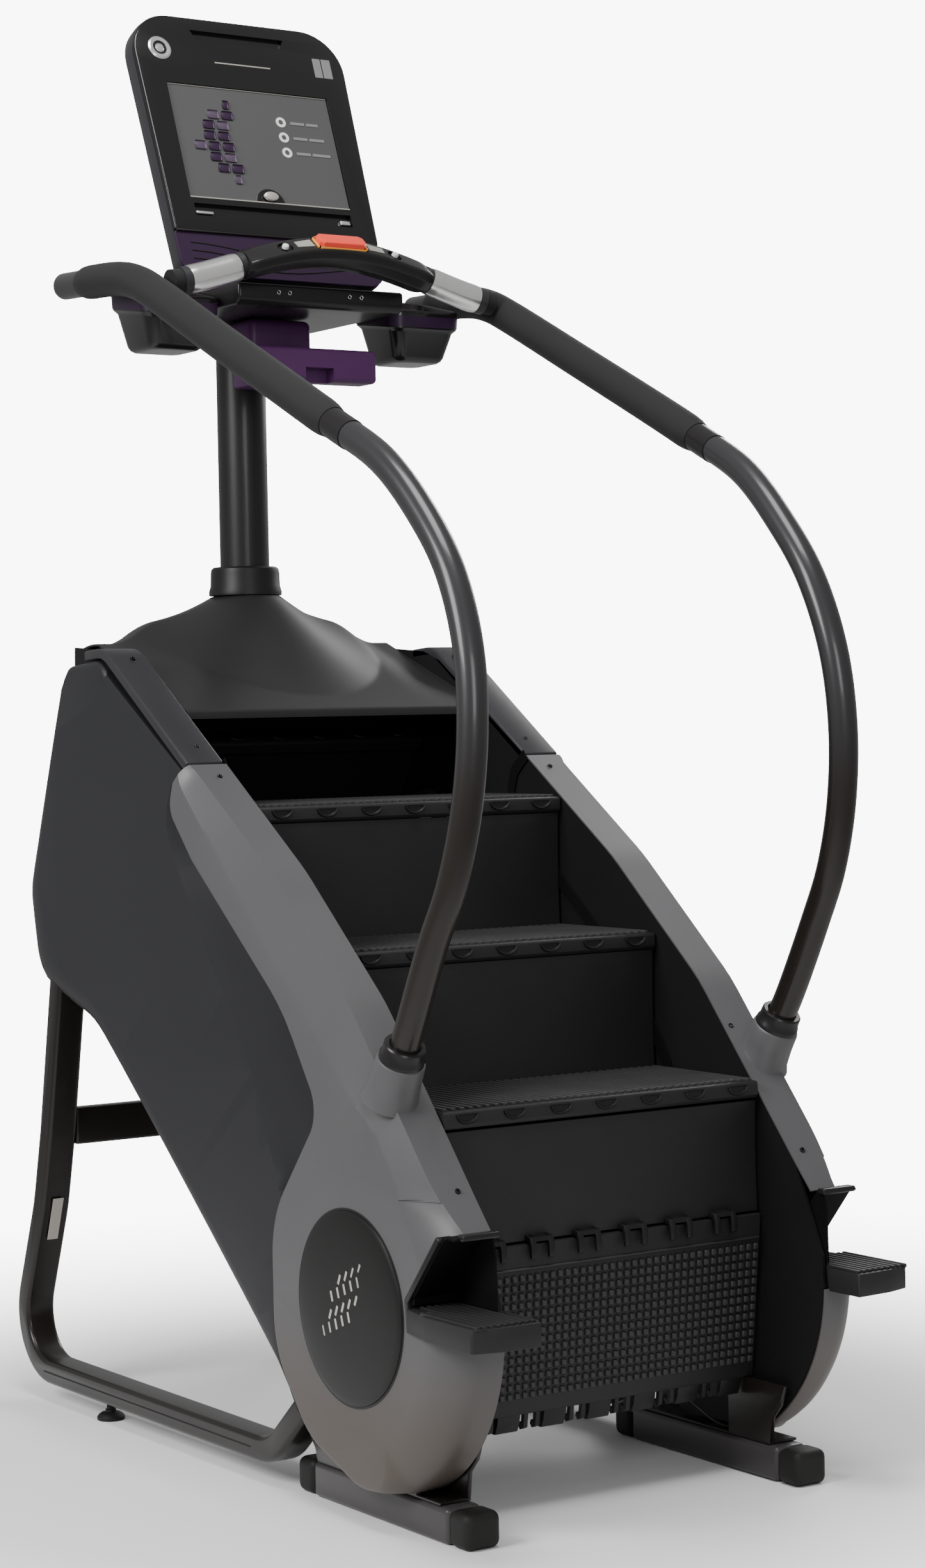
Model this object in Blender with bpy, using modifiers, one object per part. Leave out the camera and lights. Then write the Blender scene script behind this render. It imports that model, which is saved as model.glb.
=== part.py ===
"""Stair climber: a revolving-stair exercise machine with handrails, mast and console.

Metres, +Z up. +X is the climber's right and the climber steps on from -Y. The origin is
on the floor, in the middle of the machine's bounding box. Outlines are (y, z) points.
"""

import math

import bmesh
import bpy
from mathutils import Matrix, Vector

# Steps
RUN = 0.240
RISE = 0.203
INCLINE = math.atan2(RISE, RUN)
NOSE_LOW = (-0.498, 0.574)
STEP_HALF = 0.271
TREAD_DEPTH = 0.243
TREAD_THICK = 0.018
NOSE_LIP = 0.026
RISER_THICK = 0.006
SWING_GAP = 0.004
FRONT_NOSE = (-0.474, 0.138)
FRONT_TILT = math.radians(96.3)
REAR_NOSE = (0.395, 1.086)
REAR_TILT = math.radians(-55.5)

# Drive
LOWER_SHAFT = (-0.376, 0.300)
UPPER_SHAFT = (0.340, 0.907)
SHAFT_RADIUS = 0.0125
SPROCKET_RADIUS = 0.080
BELT_PULLEY_RADIUS = 0.070
BRAKE_PULLEY_RADIUS = 0.030
BRAKE_RADIUS = 0.050
BRAKE_ALONG = 0.50
BRAKE_ABOVE = 0.020

# Body
FRAME_IN = 0.2745
FRAME_OUT = 0.2795
COVER_IN = 0.281
PANEL_OUT = 0.341
COVER_OUT = 0.352
WHEEL_COVER_RADIUS = 0.134
FRONT_RADIUS = 0.260
SKIN = 0.003
GAP = 0.0004

# Rear frame, feet and foot platforms
LEG_IN = 0.285
LEG_OUT = 0.335
LEG_HALF_DEPTH = 0.019
LENGTH_HALF = 0.715
PLATFORM_TOP = 0.325
PLATFORM_THICK = 0.036
PLATFORM_OUT = 0.369

# Mast, deck and console
MAST_Y = 0.488
MAST_RADIUS = 0.0405
MAST_TOP = 1.754
DECK_FRONT = (0.200, 1.125)
DECK_BACK = 0.560
DECK_SKIRT_LOW = 1.2135
FLARE_TOP = 1.312
FLARE_HALF_WIDTH = 0.208
FLARE_HALF_LENGTH = 0.248
FLARE_NECK = 0.26
FLARE_FADE = 0.5
CONSOLE_BASE = (0.0, 0.326, 1.800)
CONSOLE_TURN = math.radians(70)
CONSOLE_HALF = 0.200
CONSOLE_TOP = 0.484
CONSOLE_DEPTH = 0.060

# Rails and grips
RAIL_RADIUS = 0.021
FOAM_RADIUS = 0.0265
BAR_RADIUS = 0.019
PLATE_RADIUS = 0.0225
BAR_CENTRE = (0.190, 1.838)
CUP_CENTRE = (0.2250, 0.3300)
CUP_SLANT = 0.24

DARK = (0.030, 0.030, 0.032)
BLACK = (0.012, 0.011, 0.011)
GREY = (0.130, 0.130, 0.132)
PURPLE = (0.070, 0.025, 0.085)


def parts_collection(name):
    found = bpy.data.collections.new(name)
    bpy.context.scene.collection.children.link(found)
    return found


for leftover in list(bpy.data.objects):
    bpy.data.objects.remove(leftover)
PARTS = parts_collection("stair_climber")
CUTTERS = parts_collection("cutters")


# ---------------------------------------------------------------- outlines


def filleted(corners, closed=True, turn=math.radians(24)):
    """Points of a polygon or path whose corners (y, z, radius) are rounded."""
    points = []
    count = len(corners)
    for i, (y, z, radius) in enumerate(corners):
        here = Vector((y, z))
        end = not closed and i in (0, count - 1)
        if radius == 0 or end:
            points.append(here)
            continue
        before = (Vector(corners[i - 1][:2]) - here).normalized()
        after = (Vector(corners[(i + 1) % count][:2]) - here).normalized()
        half = before.angle(after) / 2
        centre = here + (before + after).normalized() * (radius / math.sin(half))
        first = here + before * (radius / math.tan(half)) - centre
        last = here + after * (radius / math.tan(half)) - centre
        start = math.atan2(first.y, first.x)
        sweep = (math.atan2(last.y, last.x) - start + math.pi) % math.tau - math.pi
        steps = max(1, round(abs(sweep) / turn))
        for k in range(steps + 1):
            angle = start + sweep * k / steps
            points.append(centre + Vector((math.cos(angle), math.sin(angle))) * radius)
    return points


def arc(centre, radius, start, end, steps):
    """Points on a circle, from one angle in degrees to another."""
    angles = [math.radians(start + (end - start) * k / steps) for k in range(steps + 1)]
    return [(centre[0] + radius * math.cos(a), centre[1] + radius * math.sin(a)) for a in angles]


def beside(path, distance):
    """An open path moved to its left by this distance, with mitred corners."""
    path = [Vector(p[:2]) for p in path]
    moved = []
    for i, here in enumerate(path):
        into = (here - path[i - 1]).normalized() if i else None
        out = (path[i + 1] - here).normalized() if i < len(path) - 1 else None
        into, out = into or out, out or into
        along = (into + out).normalized()
        moved.append(here + Vector((-along.y, along.x)) * distance / max(0.3, along.dot(into)))
    return moved


def ribbon(path, half):
    """Outline of a strip that follows an open path."""
    return beside(path, half) + beside(path, -half)[::-1]


def smooth_path(points, per_span):
    """Points on a Catmull-Rom curve through the given points."""
    points = [Vector(p) for p in points]
    ends = [2 * points[0] - points[1], *points, 2 * points[-1] - points[-2]]
    found = []
    for a, b, c, d in zip(ends, ends[1:], ends[2:], ends[3:]):
        for k in range(per_span):
            t = k / per_span
            found.append(
                0.5 * ((2 * b) + (c - a) * t + (2 * a - 5 * b + 4 * c - d) * t**2
                       + (3 * b - a - 3 * c + d) * t**3)
            )
    return found + [points[-1]]


def on_incline(along, above):
    """The (y, z) point this far up the incline and above the line through both shafts."""
    return (
        LOWER_SHAFT[0] + along * math.cos(INCLINE) - above * math.sin(INCLINE),
        LOWER_SHAFT[1] + along * math.sin(INCLINE) + above * math.cos(INCLINE),
    )


# ---------------------------------------------------------------- shapes


def mesh_object(name, bm, collection=None):
    mesh = bpy.data.meshes.new(name)
    bm.to_mesh(mesh)
    bm.free()
    obj = bpy.data.objects.new(name, mesh)
    (collection or PARTS).objects.link(obj)
    return obj


def loft(name, rings, collection=None):
    """Solid through rings of matching points, closed at both ends."""
    bm = bmesh.new()
    rows = [[bm.verts.new(p) for p in ring] for ring in rings]
    for lower, upper in zip(rows, rows[1:]):
        for i in range(len(lower)):
            j = (i + 1) % len(lower)
            bm.faces.new((lower[i], lower[j], upper[j], upper[i]))
    bm.faces.new(rows[0])
    bm.faces.new(rows[-1])
    bmesh.ops.recalc_face_normals(bm, faces=bm.faces)
    return mesh_object(name, bm, collection)


def prism(name, outline, x_low, x_high, collection=None):
    """Outline in (y, z) made solid between two x positions."""
    return loft(name, [[(x, p[0], p[1]) for p in outline] for x in (x_low, x_high)], collection)


def box(name, low, high, collection=None):
    bm = bmesh.new()
    size = Vector(high) - Vector(low)
    middle = (Vector(high) + Vector(low)) / 2
    bmesh.ops.create_cube(bm, size=1, matrix=Matrix.Translation(middle) @ Matrix.Diagonal((*size, 1)))
    return mesh_object(name, bm, collection)


def cylinder(name, yz, radius, x_low, x_high, sides=24, collection=None):
    """Cylinder along X."""
    bm = bmesh.new()
    place = Matrix.Translation(((x_low + x_high) / 2, *yz)) @ Matrix.Rotation(math.pi / 2, 4, "Y")
    bmesh.ops.create_cone(
        bm, cap_ends=True, segments=sides, radius1=radius, radius2=radius,
        depth=x_high - x_low, matrix=place,
    )
    return mesh_object(name, bm, collection)


def turned(name, profile, sides=28, ring=False):
    """Profile of (radius, height), outer side from top to bottom, turned about local Z."""
    bm = bmesh.new()
    verts = [bm.verts.new((radius, 0, height)) for radius, height in profile]
    for a, b in zip(verts, verts[1:] + (verts[:1] if ring else [])):
        bm.edges.new((a, b))
    obj = mesh_object(name, bm)
    screw = obj.modifiers.new("Turn", "SCREW")
    screw.axis = "Z"
    screw.steps = screw.render_steps = sides
    screw.use_merge_vertices = True
    screw.merge_threshold = 0.00001
    return obj


def tray(name, outline, x_face, x_rim):
    """Open shell: a face at x_face with a rim that reaches to x_rim."""
    bm = bmesh.new()
    face = bm.faces.new([bm.verts.new((x_face, p[0], p[1])) for p in outline])
    if winding(outline) * (x_face - x_rim) < 0:
        bmesh.ops.reverse_faces(bm, faces=[face])
    grown = bmesh.ops.extrude_edge_only(bm, edges=bm.edges[:])["geom"]
    moved = [v for v in grown if isinstance(v, bmesh.types.BMVert)]
    bmesh.ops.translate(bm, verts=moved, vec=(x_rim - x_face, 0, 0))
    obj = mesh_object(name, bm)
    add_solidify(obj, SKIN)
    return obj


def winding(outline):
    """Twice the area of an outline in (y, z), positive when it runs anticlockwise."""
    pairs = zip(outline, list(outline[1:]) + [outline[0]])
    return sum(a[0] * b[1] - b[0] * a[1] for a, b in pairs)


def face_outwards(obj):
    """Turns an open tube's faces outwards, away from the middle of its own ring."""
    bm = bmesh.new()
    bm.from_mesh(obj.data)
    middle = sum((v.co for v in bm.verts), Vector()) / len(bm.verts)
    bm.normal_update()
    nearest = min(bm.faces, key=lambda f: abs((f.calc_center_median() - middle).x))
    if nearest.normal.dot(nearest.calc_center_median() - middle) < 0:
        bmesh.ops.reverse_faces(bm, faces=bm.faces)
    bm.to_mesh(obj.data)
    bm.free()


def add_solidify(obj, thickness):
    skin = obj.modifiers.new("Skin", "SOLIDIFY")
    skin.thickness = thickness
    skin.offset = -1
    skin.use_even_offset = True


def add_bevel(obj, width, segments=1, degrees=40):
    edge = obj.modifiers.new("Edges", "BEVEL")
    edge.width = width
    edge.segments = segments
    edge.limit_method = "ANGLE"
    edge.angle_limit = math.radians(degrees)


def as_mesh(obj):
    """The object as its modifiers or curve make it, as a plain mesh in its place."""
    bpy.context.view_layer.update()
    graph = bpy.context.evaluated_depsgraph_get()
    mesh = bpy.data.meshes.new_from_object(obj.evaluated_get(graph))
    bm = bmesh.new()
    bm.from_mesh(mesh)
    bmesh.ops.remove_doubles(bm, verts=bm.verts, dist=0.00001)
    bmesh.ops.recalc_face_normals(bm, faces=bm.faces)
    bm.to_mesh(mesh)
    bm.free()
    name, place, homes = obj.name, obj.matrix_world.copy(), obj.users_collection
    bpy.data.objects.remove(obj)
    made = bpy.data.objects.new(name, mesh)
    mesh.name = name
    for home in homes:
        home.objects.link(made)
    made.matrix_world = place
    return made


def tube(name, points, radius, resolution=4, capped=True):
    """Round tube along points, as a mesh: solid when capped, else an open skin."""
    curve = bpy.data.curves.new(name, "CURVE")
    curve.dimensions = "3D"
    curve.bevel_depth = radius
    curve.bevel_resolution = resolution
    curve.use_fill_caps = capped
    line = curve.splines.new("POLY")
    line.points.add(len(points) - 1)
    for spot, p in zip(line.points, points):
        spot.co = (*p, 1)
    obj = bpy.data.objects.new(name, curve)
    PARTS.objects.link(obj)
    return as_mesh(obj)


def boolean(obj, other, operation):
    step = obj.modifiers.new(operation.title(), "BOOLEAN")
    step.operation = operation
    step.solver = "EXACT"
    step.object = other
    other.hide_render = True
    other.display_type = "WIRE"
    return obj


def cut(obj, *cutters):
    for cutter in cutters:
        boolean(obj, cutter, "DIFFERENCE")
    return obj


def joined(obj, *others):
    """The object with others added to it as one solid."""
    for other in others:
        PARTS.objects.unlink(other)
        CUTTERS.objects.link(other)
        boolean(obj, other, "UNION")
    return obj


def finish(obj, colour, roughness=0.5, metallic=0.0, smooth=True):
    """Gives the part its own material and shades its round faces smooth."""
    look = bpy.data.materials.new(obj.name)
    look.use_nodes = True
    shader = look.node_tree.nodes["Principled BSDF"]
    shader.inputs["Base Color"].default_value = (*colour, 1)
    shader.inputs["Roughness"].default_value = roughness
    shader.inputs["Metallic"].default_value = metallic
    obj.data.materials.append(look)
    if smooth:
        obj.data.shade_smooth()
        obj.data.set_sharp_from_angle(angle=math.radians(35))
    return obj


def left_of(obj, name):
    """Mirrored copy of a right-hand part, for the other side."""
    bpy.context.view_layer.update()
    graph = bpy.context.evaluated_depsgraph_get()
    mesh = bpy.data.meshes.new_from_object(obj.evaluated_get(graph))
    bm = bmesh.new()
    bm.from_mesh(mesh)
    bmesh.ops.transform(bm, matrix=Matrix.Diagonal((-1, 1, 1, 1)) @ obj.matrix_world, verts=bm.verts)
    bmesh.ops.reverse_faces(bm, faces=bm.faces)
    bm.to_mesh(mesh)
    bm.free()
    made = bpy.data.objects.new(name, mesh)
    mesh.name = name
    PARTS.objects.link(made)
    return made


def pair(obj, colour, roughness=0.5, metallic=0.0):
    """Finishes NAME_right and adds NAME_left, mirrored from it."""
    finish(obj, colour, roughness, metallic)
    left_of(obj, obj.name.replace("_right", "_left"))


def set_origin(obj, place):
    """Moves the object's origin, so that it sits on the joint's axis."""
    obj.data.transform(Matrix.Translation(-Vector(place)))
    obj.location = place


# ---------------------------------------------------------------- outlines of the body

FRONT_ARC = arc(LOWER_SHAFT, FRONT_RADIUS, 172, 248, 8)
STRIP_LINE = [(0.077, 1.043, 0), (-0.150, 0.889, 0.4), (-0.360, 0.712, 0.3), (-0.574, 0.465, 0.1)]
COVER_BACK = [
    (-0.385, 0.052, 0.10),
    (-0.252, 0.100, 0.12),
    (-0.160, 0.210, 0.15),
    (-0.160, 0.400, 0.15),
    (-0.296, 0.560, 0.05),
    (-0.202, 0.696, 0.30),
    (0.054, 0.900, 0.08),
    (0.124, 0.975, 0.04),
    (0.108, 1.018, 0.01),
]
PANEL_BACK = [
    (0.349, 1.204, 0.04),
    (0.462, 1.196, 0.04),
    (0.505, 1.160, 0.04),
    (0.580, 0.995, 0),
    (0.660, 0.825, 0.05),
    (0.632, 0.690, 0.07),
    (0.430, 0.632, 0.20),
    (0.211, 0.462, 0),
    (-0.235, 0.0975, 0),
]
PANEL_CORNER = (0.0945, 1.0308)


def cover_outline():
    front = filleted(STRIP_LINE + [(-0.634, 0.398, 0.04), (*FRONT_ARC[0], 0)], closed=False)
    back = filleted([(*FRONT_ARC[-1], 0), *COVER_BACK, STRIP_LINE[0]], closed=False)
    return front + [Vector(p) for p in FRONT_ARC[1:]] + back[1:-1]


def panel_outline():
    """The dark side panel, whose front edge follows the grey cover's back edge."""
    clear = 0.0015
    front = beside(filleted([*COVER_BACK[1:], STRIP_LINE[0]], closed=False), -clear)
    start = next(i for i, p in enumerate(front) if p.y > PANEL_BACK[-1][1] + 0.020)
    return filleted(PANEL_BACK) + front[start:-1] + [Vector(PANEL_CORNER)]


def frame_outline():
    inset = 0.004
    top = filleted([(0.560, 1.235, 0.02), (0.349, 1.219, 0.1), *STRIP_LINE], closed=False)
    front = arc(LOWER_SHAFT, FRONT_RADIUS - inset, 172, 248, 8)
    back = [(-0.300, 0.058, 0), (-0.240, 0.110, 0.03), (0.211, 0.482, 0), (0.420, 0.638, 0.30),
            (0.618, 0.750, 0.03), (0.632, 0.825, 0.04), (0.572, 0.985, 0.02)]
    return [p + Vector((0, -inset)) for p in top] + [Vector(p) for p in front] + filleted(back, False)


# ---------------------------------------------------------------- body


def make_side_frame():
    frame = prism("side_frame_right", frame_outline(), FRAME_IN, FRAME_OUT)
    for i, shaft in enumerate((LOWER_SHAFT, UPPER_SHAFT)):
        hole = cylinder(f"bearing_hole_{i}", shaft, SHAFT_RADIUS + 0.0006, 0.25, 0.30, 28, CUTTERS)
        cut(frame, hole)
    pair(frame, BLACK, 0.6)


def make_side_covers():
    cover = tray("lower_cover_right", cover_outline(), COVER_OUT, COVER_IN)
    notch = box("platform_notch", (0.270, -0.720, 0.286), (0.400, -0.5505, 0.424), CUTTERS)
    pair(cut(cover, notch), GREY, 0.45)

    panel = tray("side_panel_right", panel_outline(), PANEL_OUT, COVER_IN)
    leg_slot = box("leg_slot", (0.270, 0.505, 0.600), (LEG_OUT + GAP, 0.600, 0.780), CUTTERS)
    frame_slot = box("frame_slot", (0.270, -0.262, 0.065), (LEG_OUT + GAP, -0.110, 0.230), CUTTERS)
    pair(cut(panel, leg_slot, frame_slot), DARK, 0.5)

    line = filleted([(0.086, 1.039, 0), (0.349, 1.217, 0.06), (0.455, 1.210, 0)], closed=False)
    strip = prism("top_strip_right", ribbon(line, 0.009), COVER_IN, 0.331)
    add_bevel(strip, 0.003)
    pair(strip, DARK, 0.4)

    disc = turned("wheel_cover_right", [
        (0, 0.0095), (0.070, 0.0085), (0.126, 0.0050), (WHEEL_COVER_RADIUS, 0.0005),
        (WHEEL_COVER_RADIUS, 0), (0, 0),
    ], 48)
    disc.matrix_world = Matrix.Translation((COVER_OUT + GAP, *LOWER_SHAFT)) @ Matrix.Rotation(
        math.pi / 2, 4, "Y")
    pair(disc, BLACK, 0.35)


def make_platforms():
    low = PLATFORM_TOP - PLATFORM_THICK
    inner = COVER_IN + 0.001
    base = box("foot_platform_right", (inner, -0.700, low), (PLATFORM_OUT, -0.552, PLATFORM_TOP))
    nose_outline = [(0.269, -0.640), (0.269, -LENGTH_HALF), (PLATFORM_OUT, -0.702), (PLATFORM_OUT, -0.640)]
    nose = loft("platform_nose", [[(x, y, z) for x, y in nose_outline] for z in (low, PLATFORM_TOP)])
    back = box("platform_back", (inner, -0.560, low + 0.001), (0.3505, -0.552, 0.422))
    cheek_outline = [(-0.640, low + 0.010), (-0.553, low + 0.010), (-0.553, 0.421), (-0.590, 0.421)]
    cheek = prism("platform_cheek", cheek_outline, 0.344, 0.3508)
    joined(base, nose, back, cheek)
    pair(base, BLACK, 0.55)


def make_rear_frame():
    path = filleted([
        (0.542, 0.735, 0), (0.600, 0.440, 0.3), (0.630, 0.320, 0.3), (0.7392, 0.049, 0.09),
        (-0.110, 0.049, 0.09), (-0.215, 0.140, 0),
    ], closed=False, turn=math.radians(15))
    frame = prism("rear_frame_right", ribbon(path, LEG_HALF_DEPTH), LEG_IN, LEG_OUT)
    add_bevel(frame, 0.004)
    pair(frame, BLACK, 0.35, 0.3)
    bar = box("rear_crossbar", (-LEG_IN + GAP, 0.583, 0.420), (LEG_IN - GAP, 0.613, 0.480))
    add_bevel(bar, 0.003)
    finish(bar, BLACK, 0.4, 0.3)

    foot = turned("levelling_foot_right", [
        (0, 0.0295), (0.006, 0.0295), (0.006, 0.016), (0.016, 0.014), (0.022, 0.006), (0.022, 0), (0, 0),
    ], 20)
    foot.location = ((LEG_IN + LEG_OUT) / 2, 0.432, 0)
    pair(foot, BLACK, 0.7)

    bar = box("front_foot_right", (0.254, -0.592, 0), (0.310, -0.150, 0.050))
    add_bevel(bar, 0.006, 2)
    pair(bar, GREY, 0.4, 0.4)


def make_back_cover():
    path = filleted([
        (0.5665, 1.222, 0), (0.576, 0.985, 0.1), (0.6355, 0.825, 0.04), (0.6215, 0.751, 0.03),
        (0.420, 0.638, 0.30), (0.211, 0.480, 0), (-0.150, 0.176, 0),
    ], closed=False)
    sheet = prism("back_cover", ribbon(path, SKIN / 2), -FRAME_IN + 0.001, FRAME_IN - 0.001)
    finish(sheet, DARK, 0.55)


# ---------------------------------------------------------------- steps


def tread_outline():
    """Side section of a tread, with its front top edge at the origin and its depth along +y."""
    return [
        (0.001, -0.005), (0.005, -0.001), (0.012, 0), (TREAD_DEPTH, 0), (TREAD_DEPTH, -TREAD_THICK),
        (0.030, -TREAD_THICK), (0.022, -NOSE_LIP), (0.004, -NOSE_LIP), (0, -0.020),
    ]


def make_tread(name, nose, tilt=0.0):
    tread = prism(name, tread_outline(), -STEP_HALF, STEP_HALF)
    tread.location = (0, *nose)
    tread.rotation_euler = (tilt, 0, 0)
    finish(tread, DARK, 0.6)


def make_riser(name, nose, height, gap=0.0008):
    """Riser that hangs from a tread's front edge; its origin is on that edge's hinge line."""
    top = -NOSE_LIP - gap
    riser = box(name, (-STEP_HALF + 0.001, 0.006, -height), (STEP_HALF - 0.001, 0.006 + RISER_THICK, top))
    riser.location = (0, *nose)
    finish(riser, DARK, 0.6)
    return riser


def make_steps():
    names = ("tread_lower", "tread_middle", "tread_upper")
    noses = [(NOSE_LOW[0] + i * RUN, NOSE_LOW[1] + i * RISE) for i in range(3)]
    for name, nose in zip(names, noses):
        make_tread(name, nose)
    hidden_foot = RISE + TREAD_THICK - 0.001
    make_riser("riser_middle", noses[1], hidden_foot)
    make_riser("riser_upper", noses[2], hidden_foot)
    make_riser("riser_lower", noses[0], 0.190, SWING_GAP)

    make_tread("tread_front", FRONT_NOSE, FRONT_TILT)
    make_tread("tread_rear", REAR_NOSE, REAR_TILT)
    for name, shaft in (("tread_front", LOWER_SHAFT), ("tread_rear", UPPER_SHAFT)):
        tread = as_mesh(bpy.data.objects[name])
        tread.data.transform(tread.matrix_world)
        tread.matrix_world = Matrix.Identity(4)
        set_origin(tread, (0, *shaft))

    inner, outer = -0.070, -0.214
    riser_along = math.sqrt(RISE**2 - (inner - outer) ** 2)
    tread_along = math.sqrt(RUN**2 - (inner - outer) ** 2)
    along = 0.105
    path = [on_incline(along, inner)]
    for _ in range(2):
        path.append(on_incline(along + riser_along, outer))
        along += riser_along + tread_along
        path.append(on_incline(along, inner))
    steps = prism("return_steps", ribbon(path, 0.004), -0.268, 0.268)
    finish(steps, DARK, 0.6)


# ---------------------------------------------------------------- drive


def shaft_profile(discs, half):
    """Turned profile of a shaft with discs given as (low, high, radius) along its axis."""
    profile = [(0, half), (SHAFT_RADIUS, half)]
    for low, high, radius in sorted(discs, reverse=True):
        profile += [(SHAFT_RADIUS, high), (radius, high), (radius, low), (SHAFT_RADIUS, low)]
    return profile + [(SHAFT_RADIUS, -half), (0, -half)]


def lay_along_x(obj, yz, x=0.0):
    obj.matrix_world = Matrix.Translation((x, *yz)) @ Matrix.Rotation(math.pi / 2, 4, "Y")


def make_drive():
    sprockets = [(0.246, 0.254, SPROCKET_RADIUS), (-0.254, -0.246, SPROCKET_RADIUS)]
    pulley = [(0.200, 0.222, BELT_PULLEY_RADIUS)]
    for name, yz, discs in (
        ("lower_shaft", LOWER_SHAFT, sprockets),
        ("upper_shaft", UPPER_SHAFT, sprockets + pulley),
    ):
        shaft = turned(name, shaft_profile(discs, 0.300))
        lay_along_x(shaft, yz)
        finish(shaft, (0.35, 0.35, 0.36), 0.35, 0.9)

    centre = on_incline(BRAKE_ALONG, BRAKE_ABOVE)
    unit = cylinder("brake_unit", centre, BRAKE_RADIUS, 0.050, 0.150)
    beam = box("brake_beam", (-0.2738, -0.050, -0.008), (0.2738, 0.050, 0))
    beam.location = (0, *on_incline(BRAKE_ALONG, BRAKE_ABOVE - BRAKE_RADIUS + 0.004))
    beam.rotation_euler = (INCLINE, 0, 0)
    joined(unit, beam)
    finish(unit, (0.20, 0.20, 0.21), 0.45, 0.7)

    rotor = turned("brake_pulley", [
        (0, 0.226), (0.008, 0.226), (0.008, 0.222), (BRAKE_PULLEY_RADIUS, 0.222),
        (BRAKE_PULLEY_RADIUS, 0.200), (0.008, 0.200), (0.008, 0.1508), (0, 0.1508),
    ], 24)
    lay_along_x(rotor, centre)
    finish(rotor, (0.35, 0.35, 0.36), 0.35, 0.9)


# ---------------------------------------------------------------- deck and mast


def deck_height(x, y):
    """Sloping deck, lower along its sides, with a trumpet-shaped foot for the mast inside an oval."""
    rise = min(1.0, (y - DECK_FRONT[0]) / (MAST_Y - DECK_FRONT[0]))
    crown = 0.5 - 0.5 * math.cos(math.pi * min(1.0, max(0.0, (abs(x) - 0.16) / 0.09)))
    deck = DECK_FRONT[1] + rise * (0.140 - 0.030 * crown) - 3.0 * max(0.0, y - MAST_Y - 0.01) ** 2
    share = min(1.0, max(FLARE_NECK, math.hypot(x / FLARE_HALF_WIDTH, (y - MAST_Y) / FLARE_HALF_LENGTH)))
    rim = math.exp((FLARE_NECK - 1) / FLARE_FADE)
    near = (math.exp((FLARE_NECK - share) / FLARE_FADE) - rim) / (1 - rim)
    return deck + (FLARE_TOP - deck) * near


def make_deck():
    columns, rows = 20, 14
    half = FRAME_IN - 0.001
    lines = []
    for j in range(rows + 1):
        y = DECK_FRONT[0] + j * (DECK_BACK - DECK_FRONT[0]) / rows
        xs = [half * (2 * i / columns - 1) for i in range(columns + 1)]
        lines.append([(x, y, deck_height(x, y)) for x in xs])
    lines.append([(x, y, DECK_SKIRT_LOW) for x, y, _ in lines[-1]])
    bm = bmesh.new()
    grid = [[bm.verts.new(p) for p in line] for line in lines]
    for near, far in zip(grid, grid[1:]):
        for i in range(columns):
            bm.faces.new((near[i], near[i + 1], far[i + 1], far[i]))
    deck = mesh_object("top_deck", bm)
    add_solidify(deck, 0.004)
    hole = cylinder("mast_hole", (0, 0), MAST_RADIUS + 0.0015, -0.15, 0.15, 32, CUTTERS)
    hole.matrix_world = Matrix.Translation((0, MAST_Y, 1.3)) @ Matrix.Rotation(math.pi / 2, 4, "Y")
    finish(cut(deck, hole), DARK, 0.4)

    beam = box("mast_crossbeam", (-FRAME_IN + GAP, 0.440, 1.090), (FRAME_IN - GAP, 0.536, 1.118))
    add_bevel(beam, 0.004)
    finish(beam, BLACK, 0.5, 0.3)


def make_mast():
    inner = MAST_RADIUS - 0.004
    mast = turned("mast", [
        (MAST_RADIUS, MAST_TOP), (MAST_RADIUS, 1.1185), (inner, 1.1185), (inner, MAST_TOP),
    ], 32, ring=True)
    mast.location = (0, MAST_Y, 0)
    finish(mast, DARK, 0.35, 0.4)
    inner = MAST_RADIUS + 0.0006
    collar = turned("mast_collar", [
        (0.053, 1.360), (0.057, 1.356), (0.060, 1.3135), (inner, 1.3135), (inner, 1.360),
    ], 32, ring=True)
    collar.location = (0, MAST_Y, 0)
    finish(collar, DARK, 0.45)

    head = box("mast_head_cover", (-0.058, 0.352, 1.698), (0.058, 0.446, 1.7535))
    add_bevel(head, 0.010, 2)
    finish(head, PURPLE, 0.45)

    rest = box("accessory_box", (-0.110, 0.238, 1.642), (0.110, 0.292, 1.695))
    neck = box("accessory_neck", (-0.040, 0.285, 1.648), (0.040, 0.4465, 1.690))
    notch = box("accessory_notch", (-0.024, 0.230, 1.630), (0.028, 0.262, 1.664), CUTTERS)
    add_bevel(rest, 0.006, 2)
    cut(joined(rest, neck), notch)
    finish(rest, PURPLE, 0.45)


# ---------------------------------------------------------------- console


def place_on_console(obj):
    obj.matrix_world = Matrix.Translation(CONSOLE_BASE) @ Matrix.Rotation(CONSOLE_TURN, 4, "X")


def console_ring(half_low, half_top, low, top, depth, radius_top=0.075, radius_low=0.030):
    """Console outline, in console axes, at one depth behind the face."""
    corners = [(-half_low, low, radius_low), (half_low, low, radius_low),
               (half_top, top, radius_top), (-half_top, top, radius_top)]
    return [(p.x, p.y, depth) for p in filleted(corners, turn=math.radians(18))]


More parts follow.
